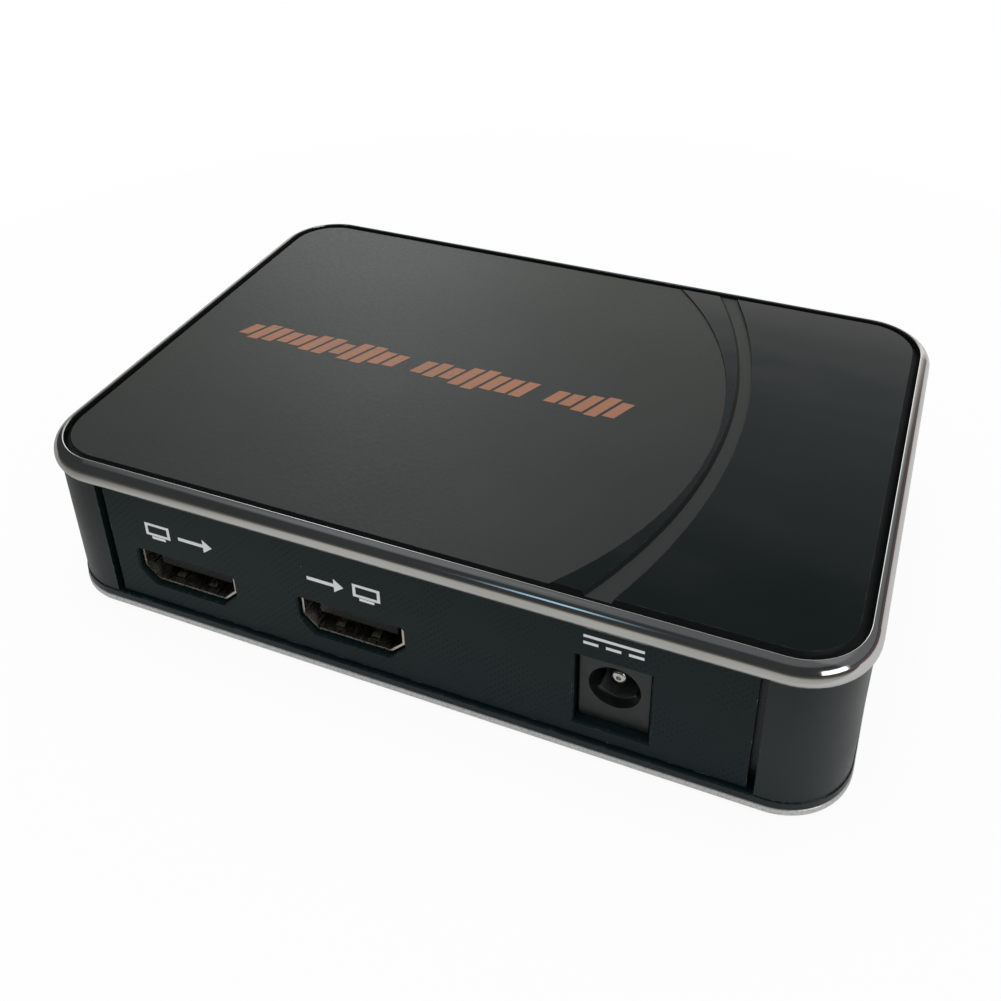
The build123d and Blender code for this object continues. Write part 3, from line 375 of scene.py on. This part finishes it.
def panel_finish():
    """Black film of the end panels, with a faint grid of small dots."""
    f = Finish("panel_black")
    place = f.add("ShaderNodeSeparateXYZ", f.place).outputs
    dot_pitch = 1.05 * mm
    turns = 2 * pi / dot_pitch
    across = f.math("SINE", f.math("MULTIPLY", place["X"], turns))
    along = f.math("SINE", f.math("MULTIPLY", place["Z"], turns))
    dots = f.ramp(f.math("MULTIPLY", across, along), 0.45, 0.8)
    dots = f.math("MULTIPLY", dots, f.ramp(f.noise(size=5 * mm, detail=2.0), 0.35, 0.6, 0.2, 1.0))

    cloud = f.noise(size=14 * mm, detail=3.0)
    worn = f.math("MULTIPLY", f.edges(0.22 * mm), f.ramp(f.noise(size=0.9 * mm, detail=3.0), 0.55, 0.68))
    dust = f.specks(spacing=4.6 * mm, radius=0.09 * mm, share=0.3)
    film = f.blend(f.patches(cloud), (0.0055, 0.0150, 0.0150), (0.0075, 0.0165, 0.0185))
    base = f.blend(f.math("MULTIPLY", dots, 0.75), film, dot_colour)
    fibre = f.noise(size=0.5 * mm, detail=3.0)
    fibre_depth = 0.004 * mm
    return f.shade(
        Base_Color=f.blend(f.math("MAXIMUM", dust, worn), base, panel_mark_colour),
        Roughness=f.math("ADD", f.patches(cloud, 0.30, 0.38), f.math("MULTIPLY", dots, 0.1)),
        Normal=f.bump(fibre, fibre_depth),
        IOR=plastic_index,
        Specular_IOR_Level=0.15,
    )


def case_finish():
    """Black moulded case, satin, with worn edges."""
    f = Finish("case_black")
    cloud = f.noise(size=12 * mm, detail=4.0)
    worn = f.math("MULTIPLY", f.edges(0.2 * mm), f.ramp(f.noise(size=0.8 * mm, detail=3.0), 0.52, 0.7))
    dust = f.specks(spacing=4.1 * mm, radius=0.07 * mm, share=0.3)
    base = f.blend(f.patches(cloud), (0.0045, 0.0130, 0.0135), (0.0065, 0.0155, 0.0160))
    grain = f.noise(size=0.3 * mm, detail=3.0)
    grain_depth = 0.006 * mm
    return f.shade(
        Base_Color=f.blend(f.math("MAXIMUM", dust, worn), base, case_mark_colour),
        Roughness=f.math("ADD", f.patches(cloud, 0.26, 0.34), f.math("MULTIPLY", worn, 0.2)),
        Normal=f.bump(grain, grain_depth),
        IOR=plastic_index,
        Specular_IOR_Level=0.36,
    )


def chrome_finish():
    """Chrome plate on the bead, a little cloudy from handling."""
    f = Finish("bright_chrome")
    smear = f.noise(size=7 * mm, detail=4.0, stretch=(0.4, 0.4, 2.0))
    pits = f.specks(spacing=2.4 * mm, radius=0.06 * mm, share=0.25)
    base = f.blend(f.ramp(smear, 0.35, 0.75), (0.65, 0.645, 0.63), (0.58, 0.575, 0.56))
    ripple = f.noise(size=9 * mm, detail=1.0)
    ripple_depth = 0.02 * mm
    return f.shade(
        Base_Color=f.blend(pits, base, pit_colour),
        Metallic=1.0,
        Roughness=f.ramp(smear, 0.3, 0.8, 0.06, 0.13),
        Normal=f.bump(ripple, ripple_depth),
    )


def band_finish():
    """Satin silver of the band round the foot, finely speckled."""
    f = Finish("satin_silver")
    grain = f.noise(size=0.3 * mm, detail=2.0)
    grain_depth = 0.006 * mm
    cloud = f.noise(size=5 * mm, detail=3.0, stretch=(0.5, 0.5, 2.0))
    return f.shade(
        Base_Color=f.blend(f.ramp(grain, 0.44, 0.66), (0.88, 0.875, 0.86), (0.72, 0.72, 0.71)),
        Metallic=0.8,
        Roughness=f.math("ADD", f.patches(cloud, 0.24, 0.34), f.math("MULTIPLY", grain, 0.1)),
        Normal=f.bump(grain, grain_depth),
    )


def metal_finish(name, bright, dull, rough, grain_size):
    """Plated or drawn metal: patchy sheen, fine drawing lines and darkened edges."""
    f = Finish(name)
    cloud = f.noise(size=grain_size * metal_cloud_ratio, detail=3.0)
    lines = f.noise(size=grain_size, detail=2.0, stretch=(1.0, 0.12, 1.0))
    base = f.blend(f.patches(cloud), bright, dull)
    dark = tuple(0.5 * part for part in dull)
    return f.shade(
        Base_Color=f.blend(f.math("MULTIPLY", f.edges(metal_edge), 0.4), base, dark),
        Metallic=1.0,
        Roughness=f.patches(lines, *rough),
        Normal=f.bump(lines, metal_line_depth),
    )


def moulded_finish(name, light, dark, rough, grain_size, grain_depth):
    """Moulded plastic, rubber or ceramic: mottled colour, fine grain, paler edges."""
    f = Finish(name)
    grain = f.noise(size=grain_size, detail=3.0)
    cloud = f.noise(size=grain_size * moulded_cloud_ratio, detail=3.0)
    base = f.blend(f.patches(cloud), dark, light)
    pale = tuple(min(1.0, 1.6 * part + 0.01) for part in light)
    return f.shade(
        Base_Color=f.blend(f.math("MULTIPLY", f.edges(moulded_edge), 0.35), base, pale),
        Roughness=f.patches(grain, *rough),
        Normal=f.bump(grain, grain_depth),
    )


def board_finish():
    """Green circuit board: paler copper runs under the mask, and plated dots."""
    f = Finish("board_green")
    runs = f.cells(size=2.2 * mm, feature="DISTANCE_TO_EDGE").outputs["Distance"]
    run = f.ramp(runs, 0.10, 0.07)
    dots = f.specks(spacing=3.1 * mm, radius=0.35 * mm, share=0.6)
    weave = f.noise(size=0.4 * mm, detail=2.0)
    base = f.blend(f.patches(weave), (0.010, 0.085, 0.035), (0.014, 0.105, 0.045))
    base = f.blend(run, base, copper_run_colour)
    run_depth = 0.02 * mm
    return f.shade(
        Base_Color=f.blend(dots, base, solder_colour),
        Metallic=f.math("MULTIPLY", dots, 0.9),
        Roughness=f.patches(weave, 0.28, 0.4),
        Normal=f.bump(f.math("ADD", run, dots), run_depth),
    )


def clear_finish():
    """Clear light pipe, faintly clouded."""
    f = Finish("clear_pipe")
    cloud = f.noise(size=0.8 * mm, detail=3.0)
    return f.shade(
        Base_Color=f.blend(f.patches(cloud), (0.86, 0.89, 0.90), (0.93, 0.95, 0.95)),
        Roughness=f.patches(cloud, 0.12, 0.28),
        Transmission_Weight=0.75,
        IOR=clear_index,
    )


def ink_finish(name, fresh, worn, rough):
    """Printed ink, with thin places where it has worn."""
    f = Finish(name)
    thin = f.ramp(f.noise(size=0.5 * mm, detail=4.0), 0.5, 0.75)
    slow = f.patches(f.noise(size=16 * mm, detail=2.0))
    mottled = f.blend(f.math("MULTIPLY", slow, 0.35), fresh, worn)
    grain = f.noise(size=0.45 * mm, detail=2.0)
    grain_depth = 0.01 * mm
    return f.shade(
        Base_Color=f.blend(f.math("MULTIPLY", thin, 0.5), mottled, worn),
        Roughness=f.ramp(thin, 0.0, 1.0, *rough),
        Normal=f.bump(grain, grain_depth),
    )


def dress(finish, *names):
    """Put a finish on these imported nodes."""
    for name in names:
        for material_slot in nodes[name].material_slots:
            material_slot.material = finish


def dress_nodes():
    """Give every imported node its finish."""
    chip = moulded_finish(
        "chip_black", light=(0.030, 0.030, 0.032), dark=(0.022, 0.022, 0.024),
        rough=(0.45, 0.6), grain_size=0.25 * mm, grain_depth=0.008 * mm,
    )
    jack = moulded_finish(
        "jack_black", light=(0.016, 0.019, 0.019), dark=(0.010, 0.013, 0.013),
        rough=(0.28, 0.42), grain_size=0.3 * mm, grain_depth=0.008 * mm,
    )
    # Painted shade: the insulator tongues deep in the sockets are darker than plain black plastic, so
    # that they read as shaded.
    liner_with_painted_shade = moulded_finish(
        "liner_black", light=(0.0040, 0.0055, 0.0055), dark=(0.0020, 0.0030, 0.0030),
        rough=(0.45, 0.6), grain_size=0.3 * mm, grain_depth=0.004 * mm,
    )
    white = moulded_finish(
        "moulded_white", light=(0.78, 0.78, 0.75), dark=(0.68, 0.68, 0.65),
        rough=(0.35, 0.5), grain_size=0.3 * mm, grain_depth=0.006 * mm,
    )
    rubber = moulded_finish(
        "foot_rubber", light=(0.030, 0.030, 0.030), dark=(0.018, 0.018, 0.018),
        rough=(0.7, 0.85), grain_size=0.5 * mm, grain_depth=0.03 * mm,
    )
    button = moulded_finish(
        "button_black", light=(0.022, 0.023, 0.024), dark=(0.015, 0.016, 0.017),
        rough=(0.22, 0.32), grain_size=0.4 * mm, grain_depth=0.006 * mm,
    )
    pad = moulded_finish(
        "pad_grey", light=(0.36, 0.38, 0.42), dark=(0.28, 0.30, 0.34),
        rough=(0.7, 0.85), grain_size=0.6 * mm, grain_depth=0.02 * mm,
    )
    ferrite = moulded_finish(
        "coil_grey", light=(0.10, 0.10, 0.105), dark=(0.07, 0.07, 0.075),
        rough=(0.55, 0.7), grain_size=0.3 * mm, grain_depth=0.02 * mm,
    )
    ceramic = moulded_finish(
        "ceramic_tan", light=(0.48, 0.36, 0.24), dark=(0.40, 0.29, 0.19),
        rough=(0.4, 0.55), grain_size=0.2 * mm, grain_depth=0.006 * mm,
    )
    phosphor = moulded_finish(
        "lamp_white", light=(0.86, 0.84, 0.62), dark=(0.80, 0.77, 0.52),
        rough=(0.25, 0.4), grain_size=0.3 * mm, grain_depth=0.006 * mm,
    )
    shell = metal_finish(
        "socket_steel", bright=(0.78, 0.73, 0.64), dull=(0.62, 0.57, 0.48),
        rough=(0.24, 0.34), grain_size=0.3 * mm,
    )
    gold = metal_finish(
        "contact_gold", bright=(0.90, 0.68, 0.32), dull=(0.78, 0.56, 0.24),
        rough=(0.18, 0.3), grain_size=0.2 * mm,
    )
    nickel = metal_finish(
        "pin_nickel", bright=(0.80, 0.79, 0.75), dull=(0.66, 0.65, 0.61),
        rough=(0.16, 0.26), grain_size=0.25 * mm,
    )
    leaf = metal_finish(
        "leaf_nickel", bright=(0.86, 0.86, 0.84), dull=(0.74, 0.74, 0.73),
        rough=(0.42, 0.52), grain_size=0.25 * mm,
    )
    zinc = metal_finish(
        "screw_steel", bright=(0.52, 0.52, 0.53), dull=(0.36, 0.36, 0.38),
        rough=(0.28, 0.42), grain_size=0.3 * mm,
    )
    drawn = metal_finish(
        "can_metal", bright=(0.74, 0.74, 0.75), dull=(0.60, 0.60, 0.61),
        rough=(0.22, 0.36), grain_size=0.25 * mm,
    )
    sink = metal_finish(
        "sink_aluminium", bright=(0.56, 0.57, 0.60), dull=(0.44, 0.45, 0.48),
        rough=(0.34, 0.48), grain_size=0.2 * mm,
    )

    dress(cover_finish(), "top_cover")
    dress(chrome_finish(), "top_trim_ring")
    dress(band_finish(), "bottom_trim_band")
    dress(case_finish(), "main_housing", "bottom_cover")
    dress(panel_finish(), "rear_panel", "front_panel")
    dress(rubber, "rubber_feet")
    dress(zinc, "case_screws", "board_screws")
    dress(board_finish(), "main_board")
    dress(shell, "video_output_shell", "video_input_shell", "stick_socket_shell")
    dress(liner_with_painted_shade, "video_output_insulator", "video_input_insulator")
    dress(white, "stick_socket_insulator", "record_switch_plunger")
    dress(gold, "video_output_contacts", "video_input_contacts", "stick_socket_contacts")
    dress(jack, "power_jack_housing", "microphone_jack_body")
    dress(nickel, "power_jack_centre_pin", "microphone_jack_contacts")
    dress(leaf, "power_jack_side_contact")
    dress(button, "record_button")
    dress(clear_finish(), "light_pipe")
    dress(phosphor, "status_lamp")
    dress(chip, "capture_chip", "memory_chips", "video_receiver_chip", "video_transmitter_chip")
    dress(chip, "flash_chip", "voltage_regulators", "record_switch_body", "capacitor_bases")
    dress(pad, "thermal_pad")
    dress(sink, "heat_sink")
    dress(drawn, "clock_crystals", "filter_capacitors")
    dress(ferrite, "power_coils")
    dress(ceramic, "ceramic_capacitors")


# Printed marks: flat shapes in a plane's own u and v, raised by the ink's thickness


def rectangle(u, v, width, height):
    """Corners of a rectangle about its middle."""
    half_u = width / 2
    half_v = height / 2
    return [
        (u - half_u, v - half_v),
        (u + half_u, v - half_v),
        (u + half_u, v + half_v),
        (u - half_u, v + half_v),
    ]


def frame_shapes(u, v, width, height, line):
    """Four bars that outline a rectangle."""
    side = (width - line) / 2
    end = (height - line) / 2
    return [
        rectangle(u, v + end, width, line),
        rectangle(u, v - end, width, line),
        rectangle(u - side, v, line, height - 2 * line),
        rectangle(u + side, v, line, height - 2 * line),
    ]


def arc_points(u, v, radius, angles):
    """Points of a circle at these angles."""
    return [(u + radius * cos(angle), v + radius * sin(angle)) for angle in angles]


def arc_shape(u, v, radius, line, first, last):
    """One bent bar along part of a circle, between two angles in degrees."""
    angles = [radians(first + (last - first) * step / arc_steps) for step in range(arc_steps + 1)]
    outer = arc_points(u, v, radius + line / 2, angles)
    inner = arc_points(u, v, radius - line / 2, reversed(angles))
    return outer + inner


def disc_shape(u, v, radius):
    """A filled circle."""
    return arc_points(u, v, radius, [2 * pi * step / disc_steps for step in range(disc_steps)])


def arrow_shape(u, v):
    """An arrow that points along +u, about its middle."""
    start = u - arrow_length / 2
    tip = u + arrow_length / 2
    neck = tip - arrow_head * arrow_head_share
    half = arrow_line / 2
    wide = arrow_head / 2
    return [
        (start, v - half),
        (neck, v - half),
        (neck, v - wide),
        (tip, v),
        (neck, v + wide),
        (neck, v + half),
        (start, v + half),
    ]


def printed(name, shapes, origin, u_axis, v_axis, ink, slot_name):
    """Make one printed mark: closed, thin prisms on a surface, riding on the case."""
    normal = u_axis.cross(v_axis).normalized()
    mesh = bmesh.new()
    for shape in shapes:
        low = [mesh.verts.new(origin + u_axis * u + v_axis * v) for u, v in shape]
        high = [mesh.verts.new(vertex.co + normal * ink_thickness) for vertex in low]
        mesh.faces.new(high)
        mesh.faces.new(list(reversed(low)))
        for index in range(len(shape)):
            after = (index + 1) % len(shape)
            mesh.faces.new((low[index], low[after], high[after], high[index]))
    bmesh.ops.recalc_face_normals(mesh, faces=mesh.faces)
    data = bpy.data.meshes.new(name)
    mesh.to_mesh(data)
    mesh.free()
    data.materials.append(ink)
    piece = bpy.data.objects.new(name, data)
    bpy.context.scene.collection.objects.link(piece)
    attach(piece, "case")


def cover_bars(ink):
    """A row of leaning bars in three groups on the disc, like a level display."""
    disc_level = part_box("top_cover")[1].z - disc_depth
    disc = (Vector((0, 0, disc_level)), Vector((1, 0, 0)), Vector((0, 1, 0)))
    shapes = []
    count = 0
    for start, bars in zip(bar_group_starts, bar_group_counts):
        for index in range(bars):
            swing = abs(sin(bar_fast_turn * count) * cos(bar_slow_turn * count + bar_first_turn))
            half = (bar_low_height + (bar_high_height - bar_low_height) * swing) / 2
            left = start + index * (bar_width + bar_gap)
            right = left + bar_width
            lean = bar_lean * half
            shapes.append([
                (left - lean, bar_centre_y - half),
                (right - lean, bar_centre_y - half),
                (right + lean, bar_centre_y + half),
                (left + lean, bar_centre_y + half),
            ])
            count += 1
    printed("cover_bar_marks", shapes, *disc, ink, "print_copper")


def screen_shapes(u, v):
    """A small screen on a stand."""
    stand = mark_height * stand_height_share
    bars = frame_shapes(u, v + stand / 2, screen_width, mark_height - stand, mark_line)
    foot = v - mark_height / 2 + mark_line / 2
    bars.append(rectangle(u, foot, screen_width * stand_width_share, mark_line))
    return bars


def panel_marks(ink):
    """Generic signs above the sockets and the button, on both panels."""
    rear_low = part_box("rear_panel")[0]
    front_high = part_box("front_panel")[1]
    rear = (Vector((0, rear_low.y, 0)), Vector((1, 0, 0)), Vector((0, 0, 1)))
    front = (Vector((0, front_high.y, 0)), Vector((-1, 0, 0)), Vector((0, 0, 1)))
    spread = (screen_width + mark_gap + arrow_length) / 2

    u, v = output_mark
    shapes = screen_shapes(u - spread + screen_width / 2, v)
    shapes.append(arrow_shape(u + spread - arrow_length / 2, v))
    printed("video_output_mark", shapes, *rear, ink, "print_white")

    u, v = input_mark
    shapes = screen_shapes(u + spread - screen_width / 2, v)
    shapes.append(arrow_shape(u - spread + arrow_length / 2, v))
    printed("video_input_mark", shapes, *rear, ink, "print_white")

    # A line over three dashes, with gaps of half a dash
    u, v = power_mark
    dash = power_mark_width / 4
    dash_pitch = dash * 1.5
    shapes = [rectangle(u, v + power_mark_rise, power_mark_width, mark_line)]
    for side in (-1, 0, 1):
        shapes.append(rectangle(u + side * dash_pitch, v - power_mark_rise, dash, mark_line))
    printed("power_mark", shapes, *rear, ink, "print_white")

    u, v = stick_mark
    shapes = frame_shapes(u - stick_body_back, v, *stick_body_size, mark_line)
    shapes += frame_shapes(u + stick_plug_ahead, v, *stick_plug_size, mark_line)
    printed("stick_mark", shapes, *front, ink, "print_white")

    u, v = microphone_mark
    middle = v + capsule_rise
    half_capsule = capsule_width / 2
    shapes = [rectangle(u, middle, capsule_width, capsule_height)]
    shapes.append(arc_shape(u, middle + capsule_height / 2, half_capsule / 2, half_capsule, 0, 180))
    shapes.append(arc_shape(u, middle - capsule_height / 2, half_capsule / 2, half_capsule, 180, 360))
    shapes.append(arc_shape(u, v + yoke_rise, yoke_radius, thin_line, 180, 360))
    shapes.append(rectangle(u, v - stem_drop, thin_line, stem_height))
    shapes.append(rectangle(u, v - stem_foot_drop, stem_foot_width, stem_foot_line))
    printed("microphone_mark", shapes, *front, ink, "print_white")

    u, v = record_mark
    shapes = [disc_shape(u, v, record_dot_radius)]
    shapes.append(arc_shape(u, v, record_ring_radius, thin_line, 0, 180))
    shapes.append(arc_shape(u, v, record_ring_radius, thin_line, 180, 360))
    printed("record_mark", shapes, *front, ink, "print_white")


# Studio: floor, world, lamp and the tent that metal mirrors


def make_floor():
    """Pale floor: it keeps a light shadow, fades to white further out, and mirrors as grey."""
    half = floor_size / 2
    data = bpy.data.meshes.new("studio_floor")
    corners = [(-half, -half, 0), (half, -half, 0), (half, half, 0), (-half, half, 0)]
    data.from_pydata(corners, [], [(0, 1, 2, 3)])
    floor = bpy.data.objects.new("studio_floor", data)
    bpy.context.scene.collection.objects.link(floor)
    f = Finish("studio_floor")
    path = f.add("ShaderNodeLightPath").outputs
    seen = path["Is Camera Ray"]
    mirrored = path["Is Glossy Ray"]
    place = f.add("ShaderNodeSeparateXYZ", f.place).outputs
    distance = f.add("ShaderNodeVectorMath", f.place, operation="LENGTH").outputs["Value"]
    front = f.math("MULTIPLY", mirrored, f.ramp(place["Y"], front_near, front_far))
    dusk = f.math("MULTIPLY", front, f.ramp(distance, dusk_near, dusk_far))
    left = f.math("MULTIPLY", mirrored, f.ramp(place["X"], left_near, left_far))
    pale = f.blend(seen, floor_lit_colour, floor_seen_colour)
    grey = f.blend(left, f.blend(front, pale, floor_front_colour), floor_left_colour)
    shade = f.add("ShaderNodeBsdfDiffuse", f.blend(dusk, grey, floor_dusk_colour)).outputs[0]
    plain = f.add("ShaderNodeEmission", (1, 1, 1, 1), 1.0).outputs[0]
    far = f.ramp(distance, white_near, white_far)
    white = f.math("MULTIPLY", seen, f.math("MAXIMUM", far, white_share))
    mixed = f.add("ShaderNodeMixShader", white, shade, plain).outputs[0]
    f.tree.links.new(mixed, f.output.inputs["Surface"])
    data.materials.append(f.material)


def make_world():
    """Even light, with a white background for what is seen and mirrored."""
    world = bpy.data.worlds.new("studio_world")
    bpy.context.scene.world = world
    world.use_nodes = True
    tree = world.node_tree
    tree.nodes.clear()
    path = tree.nodes.new("ShaderNodeLightPath")
    first = tree.nodes.new("ShaderNodeMath")
    first.operation = "MAXIMUM"
    second = tree.nodes.new("ShaderNodeMath")
    second.operation = "MAXIMUM"
    tree.links.new(path.outputs["Is Camera Ray"], first.inputs[0])
    tree.links.new(path.outputs["Is Glossy Ray"], first.inputs[1])
    tree.links.new(first.outputs[0], second.inputs[0])
    tree.links.new(path.outputs["Is Transmission Ray"], second.inputs[1])
    mix = tree.nodes.new("ShaderNodeMix")
    mix.data_type = "RGBA"
    mix.inputs[6].default_value = (world_level, world_level, world_level, 1)
    mix.inputs[7].default_value = (1, 1, 1, 1)
    tree.links.new(second.outputs[0], mix.inputs[0])
    background = tree.nodes.new("ShaderNodeBackground")
    tree.links.new(mix.outputs[2], background.inputs["Color"])
    output = tree.nodes.new("ShaderNodeOutputWorld")
    tree.links.new(background.outputs[0], output.inputs["Surface"])


def make_lamp():
    """One large soft lamp overhead."""
    data = bpy.data.lights.new("overhead_lamp", "AREA")
    data.shape = "SQUARE"
    data.size = lamp_size
    data.energy = lamp_power
    lamp = bpy.data.objects.new("overhead_lamp", data)
    lamp.location = (0, 0, lamp_height)
    lamp.visible_glossy = False
    bpy.context.scene.collection.objects.link(lamp)


def smooth_step(value, low, high):
    """0 at low, 1 at high and beyond, with a soft change between; low may be the larger."""
    share = min(1.0, max(0.0, (value - low) / (high - low)))
    return share * share * (3 - 2 * share)


def bump_step(value, middle, flat, reach):
    """1 within flat of the middle, fading to 0 at reach."""
    apart = abs((value - middle + 180) % 360 - 180)
    return smooth_step(apart, reach, flat)


def tent_colour(azimuth, elevation):
    """Colour of the studio tent, with the azimuth from -Y towards +X, in degrees.

    It is dark in front, with a paler stretch on the left and a brown one low on the right.
    Behind is a pale wall with a bright low strip. Three windows are brighter still: behind,
    in front, and in front to the right."""
    back = bump_step(azimuth, *wall_span)
    side = bump_step(azimuth, *side_span)
    hall = hall_level + hall_top_level * smooth_step(elevation, *hall_fade)
    hall += pale_level * bump_step(azimuth, *pale_span) * bump_step(elevation, *pale_rise)
    hall += side_level * side * smooth_step(elevation, *side_fade)
    brown = brown_level * side * smooth_step(elevation, *brown_fade) * (1 - back)

    strip = smooth_step(elevation, *strip_fade)
    shade = 1 - wall_shade * smooth_step(azimuth, *shade_fade)
    wall = wall_level + wall_edge_level * smooth_step(elevation, *wall_edge_fade)
    wall += wall_low_level * smooth_step(elevation, *wall_fade)
    level = hall * (1 - back) + wall * shade * (1 - strip) * back
    level += bump_step(azimuth, *back_window_span) * smooth_step(elevation, *back_window_fade)
    glow = strip * back * shade

    window = window_level * bump_step(azimuth, *window_span)
    window *= smooth_step(elevation, *window_foot_fade) * smooth_step(elevation, *window_head_fade)
    sky = sky_level * bump_step(azimuth, *sky_span) * bump_step(elevation, *sky_rise)
    return tuple(
        level * grey + glow * warm + brown * earth + window * white + sky * blue
        for grey, warm, earth, white, blue in zip(
            level_tint, strip_tint, brown_tint, window_tint, sky_tint
        )
    )


def make_tent():
    """Studio tent that only mirrored rays meet, so that metal and gloss get their bands."""
    rows = int((90 - tent_low) / tent_step)
    columns = int(360 / tent_step)
    verts = []
    tones = []
    for row in range(rows + 1):
        elevation = tent_low + row * tent_step
        for column in range(columns + 1):
            azimuth = column * tent_step
            flat = tent_radius * cos(radians(elevation))
            height = tent_radius * sin(radians(elevation))
            verts.append((flat * sin(radians(azimuth)), -flat * cos(radians(azimuth)), height))
            tones.append((*tent_colour(azimuth, elevation), 1.0))
    faces = []
    for row in range(rows):
        for column in range(columns):
            corner = row * (columns + 1) + column
            faces.append((corner, corner + 1, corner + columns + 2, corner + columns + 1))
    data = bpy.data.meshes.new("studio_tent")
    data.from_pydata(verts, [], faces)
    layer = data.color_attributes.new("tone", "FLOAT_COLOR", "POINT")
    layer.data.foreach_set("color", [part for tone in tones for part in tone])
    tent = bpy.data.objects.new("studio_tent", data)
    bpy.context.scene.collection.objects.link(tent)
    f = Finish("studio_tent")
    tone = f.add("ShaderNodeVertexColor", layer_name="tone").outputs[0]
    glow = f.add("ShaderNodeEmission", tone, 1.0).outputs[0]
    f.tree.links.new(glow, f.output.inputs["Surface"])
    data.materials.append(f.material)
    tent.visible_camera = False
    tent.visible_diffuse = False
    tent.visible_shadow = False
    tent.visible_transmission = False


def make_camera():
    """The photograph's camera."""
    data = bpy.data.cameras.new("photo_camera")
    camera = bpy.data.objects.new("photo_camera", data)
    bpy.context.scene.collection.objects.link(camera)
    azimuth = radians(camera_azimuth)
    elevation = radians(camera_elevation)
    roll = radians(camera_roll)
    back = Vector((sin(azimuth) * cos(elevation), -cos(azimuth) * cos(elevation), sin(elevation)))
    level = Vector((cos(azimuth), sin(azimuth), 0))
    upright = back.cross(level)
    right = level * cos(roll) + upright * sin(roll)
    up = upright * cos(roll) - level * sin(roll)
    turn = Matrix((right, up, back)).transposed().to_4x4()
    camera.matrix_world = Matrix.Translation(camera_target + back * camera_distance) @ turn
    half_px = image_width_px / 2
    data.sensor_width = sensor_width
    data.lens = sensor_width * focal_length_px / image_width_px
    data.shift_x = (half_px - optical_centre_px[0]) / image_width_px
    data.shift_y = (optical_centre_px[1] - half_px) / image_width_px
    data.clip_start = camera_clip_start
    data.clip_end = floor_size * 2
    bpy.context.scene.camera = camera


make_camera()
dress_nodes()
copper_ink = ink_finish(
    "ink_copper", fresh=(0.36, 0.155, 0.082), worn=(0.25, 0.12, 0.07), rough=(0.42, 0.52),
)
white_ink = ink_finish(
    "ink_white", fresh=(0.93, 0.95, 0.95), worn=(0.62, 0.64, 0.64), rough=(0.4, 0.55),
)
cover_bars(copper_ink)
panel_marks(white_ink)
make_floor()
make_world()
make_lamp()
make_tent()
bpy.context.scene.view_settings.view_transform = "Standard"
